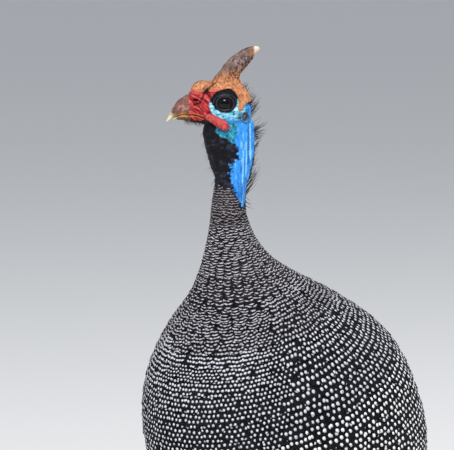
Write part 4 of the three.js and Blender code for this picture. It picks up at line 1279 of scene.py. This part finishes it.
def eyes():
    glass = {"Coat_Weight": 0.22, "Coat_Roughness": 0.02, "Specular_IOR_Level": 0.12}
    material, tree, shader = node_material("eye_glass", 0.06, **glass)
    fleck = texture(tree, "ShaderNodeTexNoise", 2600, stretched(tree, (1, 1, 1)), Detail=2.0).outputs["Fac"]
    shade = ramp(tree, fleck, [(0.35, (0.6, 0.6, 0.6)), (0.65, (1.3, 1.3, 1.3))])
    tree.links.new(mixed(tree, 0.6, vertex_tint(tree), shade, "MULTIPLY"), shader.inputs["Base Color"])
    for word, side in SIDES:
        shell = ball((0, side * EYE["out"], 0), (EYE["radius"],) * 3, 128)
        eye = joined(f"eyeball_{word}", [shell], material)
        p = coords(eye)
        r = np.hypot(p[:, 0], p[:, 2]) + 20 * (p[:, 1] * side < EYE["out"])
        p[:, 1] += side * 0.35 * (1 - smoothstep(3.2, 5.2, r))
        pupil, edge = 1 - smoothstep(3.6, 4.0, r), smoothstep(5.0, 5.8, r)
        finish_head_piece(eye, p, painted(flat(EYE_BROWN, p), ((2, 2, 3), pupil), ((8, 6, 6), edge)))
        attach(eye, "root")
        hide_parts(f"eye_{word}")


def ears():
    parts = []
    for _, side in SIDES:
        place = (EAR["forward"], side * (EAR["out"] + 0.4), EAR["up"])
        parts.append(ring_shell(EAR["radius"], EAR["rim"], 1.1, side * EAR["turn"], place))
    edge = speckled_material("ear_rim", srgb(26, 76, 112), srgb(74, 148, 186), 500, 0.5, 0.3)
    rims = joined("ear_rims", parts, edge)
    place_head_piece(rims)
    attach(rims, "root")


def casque_shape():
    """The sheath over the crown, cut to its outline, and the horn with its knob, in one skin."""
    shells = [loft(cross_rings(SKULL, 40, 64, 0.52, 2.3, SHEATH_THICK))]
    shells += [ball((7, side * 9.6, 8.6), (9.6, 4.6, 4.4)) for _, side in SIDES]
    top = joined("casque_cap", shells, HORN_SKIN)
    remesh(top, 0.55)
    outline = finer(SHEATH + SHEATH[:1], 90)[:-1]
    plate = np.stack([np.stack([outline[:, 0], np.full(90, y), outline[:, 1]], -1) for y in (-30.0, 30.0)])
    trim(top, loft_object("casque_outline", plate, HORN_SKIN))
    shells = [loft(fan_rings(HORN, 60, 56)), ball(KNOB["place"], KNOB["radii"], 48)]
    horn = joined("casque_surface", shells, HORN_SKIN)
    union = bmesh.new()
    union.from_mesh(top.data)
    union.from_mesh(horn.data)
    union.to_mesh(horn.data)
    union.free()
    bpy.data.objects.remove(top)
    remesh(horn, 0.5)
    relax(horn, 5)
    return horn


def casque():
    horn = casque_shape()
    p = coords(horn)
    x, y, z = p.T
    rear = smoothstep(-1.5, 2.0, -(x + 0.95 * (z - 22)) * 0.35 + noise(p, 4, 32))
    flakes = smoothstep(0.05, 0.3, np.abs(noise_at(x, y, z * 0.7, 1.5, 31)))
    worn = smoothstep(15, 21, z) * smoothstep(44, 36, z)
    groove = distance_to([(8, 16.5), (11.5, 14.2), (16, 9)], x, z)[0]
    relief = 0.22 * noise(p, 1.4, 33) + 0.3 * noise(p, 4, 34) - 0.45 * (1 - flakes) * worn * rear
    relief -= 1.0 * near(groove, 0, 0.7) * (np.abs(y) > 2)
    p = p + normals(horn) * (relief * smoothstep(4, 8, z + 12))[:, None]
    grain = noise_at(x + 0.4 * z, y, z * 0.8, 1.3, 36)
    pits = smoothstep(0.28, 0.5, noise(p, 1.1, 30, 1))
    band = near(z - 40.5 + 0.5 * (x + 24), 0, 2.2) * smoothstep(-19, -23, x)
    seam = smoothstep(12.5, 10.5, z) * smoothstep(-2, 2, x) * smoothstep(13, 11, x)
    middle = painted(
        flat(HORN_MIDDLE, p),
        ((146, 128, 124), smoothstep(0.0, 0.6, noise(p, 2.6, 37))),
        ((70, 50, 46), smoothstep(0.2, 0.6, noise(p, 1.8, 38))),
    )
    colors = painted(
        flat(HORN_BASE, p),
        ((150, 84, 62), 0.75 * smoothstep(0.05, 0.5, grain)),
        ((212, 166, 126), 0.6 * smoothstep(0.05, 0.5, -grain)),
        ((86, 46, 34), 0.7 * pits * smoothstep(6, 14, z)),
        (middle, smoothstep(19, 28, z + 0.25 * x + 2.2 * noise(p, 3, 35))),
        ((40, 27, 24), 0.85 * (1 - flakes) * worn * rear),
        ((176, 112, 72), 0.8 * band),
        (HORN_TIP, smoothstep(-23.8, -26.4, x + 0.6 * noise(p, 2, 39)) * smoothstep(36, 41, z)),
        ((190, 76, 70), 0.9 * smoothstep(11, 15, x) * smoothstep(9, 5, z - 0.15 * x)),
        ((192, 84, 76), 0.85 * seam),
        ((36, 20, 20), near(groove, 0, 0.55) * (np.abs(y) > 2)),
    )
    finish_head_piece(horn, p, colors)
    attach(horn, "root")
    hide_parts("casque")


def bills():
    halves = (("bill_upper", UPPER_BILL, 0.25, 0), ("bill_lower", LOWER_BILL, 0.75, 0.5))
    for name, table, share, more in halves:
        rows = [(x, top + more, low, half) for x, top, low, half in table]
        bill = loft_object(f"{name}_horn", cross_rings(rows, 110, 72, share, 2.0), BILL_HORN)
        p = coords(bill)
        x, y, z = p.T
        lines = noise_at(x * 0.35, y * 1.4, z * 1.4 + x * 0.5, 1.3, 41)
        relief = (0.16 * lines + 0.1 * noise(p, 0.9, 42)) * smoothstep(46, 40, x)
        p = p + normals(bill) * relief[:, None]
        colors = painted(
            flat(BILL, p),
            ((92, 58, 56), 0.85 * smoothstep(0.0, 0.5, lines + 0.2 * smoothstep(33, 38, x))),
            ((176, 130, 112), 0.7 * smoothstep(0.0, 0.5, noise(p, 2.4, 43))),
        )
        if name == "bill_upper":
            edge = smoothstep(2.6, 0.9, z - np.interp(x, [27, 35, 42.5, 47.3], [-9.6, -10.1, -12.9, -16.2]))
            colors = painted(colors, ((204, 152, 88), 0.85 * edge * smoothstep(45, 38, x)))
            tip = smoothstep(39.0, 44.5, x - 0.35 * (z + 12) + noise(p, 2, 44))
        else:
            colors = painted(colors * 0.55, ((196, 142, 78), 0.8 * smoothstep(-12.5, -10.6, z)))
            tip = smoothstep(37, 41, x)
        colors = painted(colors, (BILL_TIP, tip), ((128, 44, 44), smoothstep(29.6, 27.4, x) * 0.8))
        finish_head_piece(bill, p, colors)
        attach(bill, "root")
        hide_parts(name)


def wattles():
    material, tree, shader = node_material("wattle_red", 0.42, Subsurface_Weight=0.15)
    shader.inputs["Subsurface Radius"].default_value = (0.003, 0.001, 0.0008)
    cells = texture(tree, "ShaderNodeTexVoronoi", 1500, stretched(tree, (1, 1, 1))).outputs["Distance"]
    shade = ramp(tree, cells, [(0.0, (1.25, 1.15, 1.15)), (0.6, (0.62, 0.55, 0.55))])
    tree.links.new(mixed(tree, 0.6, vertex_tint(tree), shade, "MULTIPLY"), shader.inputs["Base Color"])
    bump(tree, shader, cells, 0.5, 0.0005)
    forward, up, left, thick, deep = np.moveaxis(finer(WATTLE, 70), -1, 0)[..., None]
    c, s = np.cos(circle(56)) * deep, np.sin(circle(56)) * thick
    for word, side in SIDES:
        rings = np.stack([forward - 0.45 * c, side * (left + s - 0.1 * c), up + 0.88 * c], -1)
        wattle = loft_object(f"wattle_skin_{word}", rings, material)
        p = coords(wattle)
        p = p + normals(wattle) * (0.28 * noise(p, 1.5, 51) + 0.3 * noise(p, 3.5, 52))[:, None]
        # Pale patches painted on the wattles as highlights.
        dark, pale = smoothstep(0.1, 0.6, noise(p, 1.5, 53)), smoothstep(0.15, 0.6, noise(p, 1.3, 54))
        colors = painted(flat(WATTLE_RED, p), ((120, 22, 30), dark), ((226, 104, 96), 0.7 * pale))
        finish_head_piece(wattle, p, colors)
        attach(wattle, "root")
        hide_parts(f"wattle_{word}")


# Hairs and bristles

def hair_shells(roots, heads, bends, radius):
    """Tapered hairs from roots (n, 3) by vectors heads, bent by vectors bends, as one mesh's arrays."""
    steps, sides = 7, 5
    share = np.linspace(0, 1, steps)[None, :, None]
    lines = roots[:, None] + heads[:, None] * share + bends[:, None] * share**2
    ahead = unit(np.gradient(lines, axis=1))
    spare = np.where(np.abs(ahead[..., 2:]) > 0.9, [1.0, 0, 0], [0, 0, 1.0])
    across = unit(np.cross(ahead, spare))
    up = np.cross(across, ahead)
    thick = radius * (1 - 0.85 * share[..., None] ** 1.5)
    angle = circle(sides)[:, None, :, None]
    rings = lines[:, :, None] + thick * (across[:, :, None] * np.cos(angle) + up[:, :, None] * np.sin(angle))
    count = len(roots)
    vertices = np.concatenate([rings.reshape(count, -1, 3), lines[:, :1], lines[:, -1:]], axis=1)
    step = (np.arange(count) * vertices.shape[1])[:, None, None]
    quads, triangles = (faces[None] + step for faces in ring_faces(steps, sides))
    return vertices.reshape(-1, 3), quads.reshape(-1, 4), triangles.reshape(-1, 3)


def neck_point(up, angle, sink=0.5):
    """A place on the bare neck's skin in the head's frame, by height and by degrees from the throat."""
    front, back, half = columns_at(BARE_NECK, up, 1, 2, 3)
    turned, a = neck_turn(up), np.radians(angle)
    c, s = ((front - back) / 2 - sink) * np.cos(a), (half - sink) * np.sin(a)
    x = (front + back) / 2 + c * np.cos(turned) - s * np.sin(turned)
    point = np.stack([x, c * np.sin(turned) + s * np.cos(turned), up], -1)
    return point, np.stack([np.cos(a + turned), np.sin(a + turned), np.zeros_like(up)], -1)


def skull_back(up, angle):
    """A place on the back of the skull, by height and by degrees from the nape."""
    forward = np.interp(up, [-24, -13, -4, 1, 6, 12, 15], [-13, -22, -22.6, -22.4, -20.6, -16.5, -12.5])
    c, s = np.cos(np.radians(angle)), np.sin(np.radians(angle))
    point = np.stack([forward + 0.5 + 5 * (1 - c), 9 * s, up], -1)
    return point, unit(np.stack([-c, s, np.full_like(up, 0.35)], -1))


STRANDS = [  # up, angle from the throat, rise for each millimetre out, length, count
    (-23, 168, 0.35, 13, 7), (-29, 168, 0.2, 10, 4), (-37, 168, 1.1, 10, 5), (-62, 152, 1.2, 9, 3),
    (-70, 146, 1.5, 19, 7), (-77, 138, 1.2, 20, 7), (-82, 132, -0.9, 11, 4),
]


def head_hairs():
    """Bristles in seven groups: nape tufts, nape, back of the crown, throat, chin, crease and brow."""
    groups = []

    def grow(point, heads, bends, radius):
        groups.append(hair_shells(point, heads, bends, radius))

    for up, angle, rise, length, count in STRANDS:
        side = rng.normal(angle, 7, count)
        point, outward = neck_point(up + rng.normal(0, 2.0, count), side)
        reach = length * rng.uniform(0.6, 1.1, count)[:, None]
        lean = (rise + rng.normal(0, 0.25, count))[:, None] * UP
        grow(point, unit(outward + lean + rng.normal(0, 0.12, (count, 3))) * reach, 0.22 * UP * reach, 0.24)
    count = 130
    up = rng.choice([-84, -72, -64, -50, -38, -27, -22], count) + rng.normal(0, 3.5, count)
    side = rng.choice([-1, 1], count)
    point, outward = neck_point(up, side * (180 - np.abs(rng.normal(0, 15, count))))
    reach = np.interp(up, [-88, -80, -68, -55, -40, -28, -20], [6, 8, 9, 5, 6, 9, 8])
    reach = (reach * rng.uniform(0.3, 1.1, count))[:, None]
    lift = np.interp(up, [-88, -78, -70, -20], [-0.5, -0.1, 0.7, 0.45]) + rng.normal(0, 0.3, count)
    droop = np.where(up < -78, -0.5, 0.35)[:, None] * UP
    grow(point, (outward + lift[:, None] * UP) * reach * 0.85, droop * reach * 0.5, 0.17)
    count = 90
    up = rng.uniform(-16, 12, count)
    point, outward = skull_back(up, rng.normal(0, 32, count))
    reach = (np.interp(up, [-16, 0, 12], [10, 6, 4]) * rng.uniform(0.5, 1.1, count))[:, None]
    grow(point, (outward + rng.normal(0, 0.22, (count, 3)) + 0.5 * UP) * reach, 0.3 * UP * reach, 0.18)
    count = 150
    up = rng.uniform(-84, -24, count)
    point, outward = neck_point(up, rng.normal(0, 30, count))
    reach = rng.uniform(0.8, 2.2, count)[:, None] ** 2
    heads = (outward * 0.9 - 0.55 * UP + rng.normal(0, 0.2, (count, 3))) * reach
    grow(point, heads, -0.35 * UP * reach, 0.11)
    count = 70
    x = rng.uniform(16, 33, count)
    point = np.stack([x, rng.normal(0, 2.0, count), np.interp(x, [16, 24, 33], [-17.6, -16.2, -14.2])], -1)
    reach = rng.uniform(1.5, 4.2, count)[:, None]
    grow(point, ([-0.25, 0, -1] + rng.normal(0, 0.25, (count, 3))) * reach, [-0.3, 0, 0] * reach, 0.11)
    share, line = rng.uniform(0, 1, count), np.array(CREASE)
    x, z = (np.interp(share * 4, range(5), line[:, k]) for k in (0, 1))
    side = rng.choice([-1, 1], count)
    point = np.stack([x + rng.normal(0, 0.3, count), side * np.interp(z, [-2, 12], [8.0, 7.2]), z], -1)
    heads = np.stack([rng.normal(0.5, 0.35, count), side * 0.6, rng.normal(0.5, 0.4, count)], -1)
    grow(point, heads * rng.uniform(1.2, 2.6, (count, 1)), heads * 0.0, 0.1)
    count = 26
    x = rng.uniform(24.5, 28, count)
    point = np.stack([x, rng.normal(0, 1.1, count), np.interp(x, [24.5, 27.2, 31], [8.3, 7.2, 5.8])], -1)
    ahead, left, rise = rng.uniform(0.1, 0.9, count), rng.normal(0, 0.4, count), rng.uniform(0.6, 1.0, count)
    heads = np.stack([ahead, left, rise], -1)
    grow(point, heads * rng.uniform(1.2, 2.6, (count, 1)), heads * 0.0, 0.1)
    hairs = joined("hairs_head", groups, BRISTLE)
    recalc(hairs)
    place_head_piece(hairs)
    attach(hairs, "root")


head_skin()
lid_rings()
eyes()
ears()
casque()
bills()
wattles()
head_hairs()


# Wings, tail and thighs

# Each tier of a folded wing: starts along it, lanes down it, reach, half width, lift, rise, material,
# pitch of the marks, millimetres of each vane that carry them, and how square the tips are
WING_TIERS = {
    "primaries": ([0.66, 0.69], 4, 0.4, 8.5, -1.4, 1.6, FLIGHT_DARK, 5.6, 30, 1.4),
    "secondaries": ([0.5, 0.54, 0.58], 7, 0.33, 9.5, -0.5, 1.8, VANE_DARK, 5.7, 24, 1.2),
    "coverts": ([0.44, 0.49, 0.54], 8, 0.2, 9.0, 0.1, 1.8, VANE_DARK, 5.7, 14, 1.0),
}


def dress_wing(word, side):
    surface = wing_surface(side)
    for name, (starts, lanes, reach, half, lift, rise, material, pitch, shown, tip) in WING_TIERS.items():
        rows = [(start, k % 2 / 2, j) for k, start in enumerate(starts) for j in range(lanes)]
        t, offset, j = np.array(rows).T
        a = -0.03 + 1.06 * (j + 0.25 + offset) / lanes
        t = t + rng.normal(0, 0.003, len(t))
        length = np.linalg.norm(surface(t + reach, a) - surface(t, a), axis=-1) * 1.03
        first = 0.02 if side > 0 else 0.52
        patch = np.stack([first + 0.44 * np.clip(t, 0, 1), 0.68 + 0.28 * np.clip(a, 0, 1)], -1)
        coat = Coat(surface, t, a, reach, length, half, lift, rise, patch, tip)
        wear(coat.vanes(f"feathers_wing_{name}_{word}", material))
        spots(coat, Lattice(pitch, 0.95, np.full(len(t), float(shown)), half * 1.4, 0), f"wing_{name}_{word}")


# Each row of the tail: vanes, length, half width, spread in degrees, height, millimetres that carry marks
TAIL_ROWS = {
    "long": (14, 89, 9.6, 27, 0.0, 40),
    "middle": (9, 68, 11.0, 23, 5.6, 24),
    "cover": (11, 50, 10.5, 21, 10.5, 18),
    "root": (9, 34, 9.5, 19, 14.0, 14),
}


def dress_tail():
    for name, (count, length, half, spread, height, shown) in TAIL_ROWS.items():
        k = np.arange(count)
        out = (k + 0.5) / count * 2 - 1
        level = np.abs(k - count / 2 + 0.25) * 2
        patch = np.stack([0.3 + 0.4 * (out + 1) / 2, np.full(count, 0.96 - 0.012 * (height > 3))], -1)
        reach = length * (1 - TAIL["round"] * out * out)
        surface = tail_surface(length, spread, height)
        coat = Coat(surface, np.zeros(count), out, 1.0, reach, half, -level * 0.42, 0.6, patch, 1.2)
        wear(coat.vanes(f"feathers_tail_{name}", FLIGHT_DARK if name == "long" else VANE_DARK))
        spots(coat, Lattice(5.8, 0.95, np.full(count, float(shown)), half * 1.3, 0), f"tail_{name}")


def dress_thigh(word, side):
    surface = thigh_surface(side)
    angles = np.linspace(0, 2 * PI, 121)
    t, a = [], []
    for k, row in enumerate(np.linspace(0.15, 4.6, 11)):
        lengths = run_lengths(surface(row, angles))
        count = max(6, int(lengths[-1] / 11))
        places = (np.arange(count) + 0.5 * (k % 2)) / count * lengths[-1]
        a += list(np.interp(places, lengths, angles))
        t += [row] * count
    t, a = np.array(t), np.array(a)
    small = np.interp(t, [0, 3, 4.6], [1.0, 0.85, 0.6])
    length = 21 * small
    reach = np.minimum(length / ring_length(surface, t, a), len(THIGH) - 1.05 - t)
    patch = np.stack([(0.02 if side > 0 else 0.74) + 0.2 * a / (2 * PI), 0.68 + 0.04 * t], -1)
    coat = Coat(surface, t, a, reach, length, 7.6 * small, -0.3, 1.4, patch)
    wear(coat.vanes(f"feathers_thigh_{word}", VANE_DARK))
    spots(coat, Lattice(4.6 * small, 0.95, 9.2 * small, 11 * small, 0), f"thigh_{word}")


# Legs, feet and claws

def toe_rows(side, turn, length, radius):
    """Points and radii along a toe, and its heading."""
    heading = -PI / 2 + side * math.radians(turn)
    along = np.linspace(0, 1, 61)
    pads = 1 + 0.07 * np.cos(along * 4 * PI) if length > SHORT_TOE else np.ones_like(along)
    r = radius * (1 - 0.34 * along) * pads
    x = side * STANCE + math.cos(heading) * length * along
    y = FOOT_Y + math.sin(heading) * length * along
    return np.stack([x, y, 0.9 * r + (1 - along) ** 3 * 1.4, r], -1), heading


def upright_rings(rows, heading, sides=28):
    angle = circle(sides)[..., None]
    across = np.array([-math.sin(heading), math.cos(heading), 0])
    return rows[:, None, :3] + rows[:, None, 3:] * (across * np.cos(angle) + UP * np.sin(angle))


def groove_share(along, pitch):
    """1 at the grooves between scutes and 0 halfway from one to the next."""
    return np.abs(np.modf(along / pitch)[0] - 0.5) * 2


def shanks(word, side):
    y, z, wide, long = np.moveaxis(finer(SHANK, 150), -1, 0)[..., None]
    angle = circle(48)
    front = smoothstep(-0.2, 0.7, -np.cos(angle))
    cells = np.sin(z * 2.6 + 2 * np.cos(angle * 6)) * np.sin(angle * 14)
    grooves = smoothstep(0.72, 1, groove_share(z + 30, 3.4))
    relief = front * (0.3 - 0.55 * grooves) + (1 - front) * 0.18 * cells
    x = side * STANCE + (wide + relief) * np.sin(angle)
    rings = np.stack([x, y + (long + relief) * np.cos(angle), z * np.ones_like(x)], -1)
    shank = loft_object(f"shank_skin_{word}", rings + SHIFT, LEG)
    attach(shank, "root")
    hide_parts(f"shank_{word}")


def feet(word, side):
    toes = [(*toe_rows(side, turn, length, radius), length) for _, turn, length, radius in TOES]
    shells = [ball((side * STANCE, FOOT_Y + 1, 6.8), (6.4, 7.4, 7.5))]
    shells += [loft(upright_rings(toe, heading)) for toe, heading, _ in toes]
    z, angle = np.linspace(5, 16, 12)[:, None], circle(48)
    x = side * STANCE + 5.3 * np.sin(angle) * np.ones_like(z)
    y = FOOT_Y + 0.6 + (z - 5) * 0.2 + 5.4 * np.cos(angle)
    shells.append(loft(np.stack([x, y, z * np.ones_like(angle)], -1)))
    foot = joined(f"foot_skin_{word}", shells, LEG)
    remesh(foot, 0.6)
    relax(foot, 3)
    p = coords(foot)
    relief = np.zeros(len(p))
    top = smoothstep(1.5, 4, p[:, 2])
    for toe, heading, length in toes:
        ahead = np.array([math.cos(heading), math.sin(heading)])
        along = (p[:, :2] - toe[0, :2]) @ ahead
        off = np.abs((p[:, :2] - toe[0, :2]) @ np.array([-ahead[1], ahead[0]]))
        own = (along > 6) & (along < length + 2) & (off < 5)
        grooves = smoothstep(0.7, 1, groove_share(along + 60, 3.0))
        relief = np.where(own, 0.3 * top * (1 - 1.9 * grooves), relief)
    relief += 0.12 * noise(p, 1.2, 61)
    p = p + normals(foot) * relief[:, None]
    p[:, 2] = np.maximum(p[:, 2], 0)
    set_coords(foot, p + SHIFT)
    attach(foot, "root")
    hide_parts(f"foot_{word}")


def claws(word, side):
    for name, turn, length, radius in TOES:
        toe, heading = toe_rows(side, turn, length, radius)
        x, y, z, r = toe[-1]
        size = 1 if length > SHORT_TOE else 0.7
        share = np.linspace(0, 1, 24)
        reach = 11 * size * share - 1.5 * (1 - share)
        lift = 1.5 * size * np.sin(share * PI) * (1 - share * 0.5)
        height = np.maximum(z + lift - (z - 1) * share**1.4, 0.6)
        radii = np.maximum(r * 0.92 * (1 - share**1.3), 0.3)
        claw = np.stack([x + math.cos(heading) * reach, y + math.sin(heading) * reach, height, radii], -1)
        piece = loft_object(f"claw_{name}_horn_{word}", upright_rings(claw, heading, 20) + SHIFT, CLAW)
        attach(piece, "root")
        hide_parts(f"claw_{name}_{word}")


body_skin()
dress_body()
dress_neck_foot()
dress_tail()
for word, side in SIDES:
    dress_wing(word, side)
    dress_thigh(word, side)
    shanks(word, side)
    feet(word, side)
    claws(word, side)


# Floor, light and camera

VIEW = {"azimuth": 35, "elevation": 6, "target": (-39.6, -58.7, 388), "distance": 3500, "scale": 1.19}
PICTURE_WIDTH = 454
SENSOR = 36
LIGHTS = [  # name, place, size, watts
    ("key", (1.3, -2.2, 2.9), 1.3, 128),
    ("fill", (-2.4, -1.2, 1.4), 1.8, 12),
    ("rim", (1.2, 2.2, 2.2), 1.4, 30),
]
LIT_POINT = (0, 0, 0.3)
SKY = (0.86, 0.9, 1.0, 1)
SKY_STRENGTH = 0.5


def stage():
    bpy.ops.mesh.primitive_plane_add(size=30)
    floor = bpy.context.object
    floor.name = "floor"
    pale = speckled_material("floor_pale", srgb(232, 232, 229), srgb(234, 234, 231), 400, 0.9, 0.0)
    floor.data.materials.append(pale)
    world = bpy.data.worlds.new("studio")
    bpy.context.scene.world = world
    world.use_nodes = True
    background = world.node_tree.nodes["Background"]
    background.inputs[0].default_value = SKY
    background.inputs[1].default_value = SKY_STRENGTH
    for name, place, size, watts in LIGHTS:
        light = bpy.data.lights.new(name, "AREA")
        light.energy = watts
        light.size = size
        lamp = bpy.data.objects.new(name, light)
        lamp.location = place
        lamp.rotation_euler = (Vector(LIT_POINT) - Vector(place)).to_track_quat("-Z", "Y").to_euler()
        bpy.context.scene.collection.objects.link(lamp)


def camera():
    """A long lens that shows VIEW's target in the middle, at its scale in pixels a millimetre."""
    azimuth, elevation = math.radians(VIEW["azimuth"]), math.radians(VIEW["elevation"])
    level = math.cos(elevation)
    back = Vector((math.sin(azimuth) * level, -math.cos(azimuth) * level, math.sin(elevation)))
    data = bpy.data.cameras.new("camera")
    data.sensor_width = SENSOR
    data.lens = VIEW["scale"] * VIEW["distance"] * SENSOR / PICTURE_WIDTH
    data.clip_end = 50
    shot = bpy.data.objects.new("camera", data)
    shot.location = (Vector(VIEW["target"]) + back * VIEW["distance"]) * MM
    shot.rotation_euler = back.to_track_quat("Z", "Y").to_euler()
    bpy.context.scene.collection.objects.link(shot)
    bpy.context.scene.camera = shot


stage()
camera()
bpy.context.scene.view_settings.view_transform = "Standard"
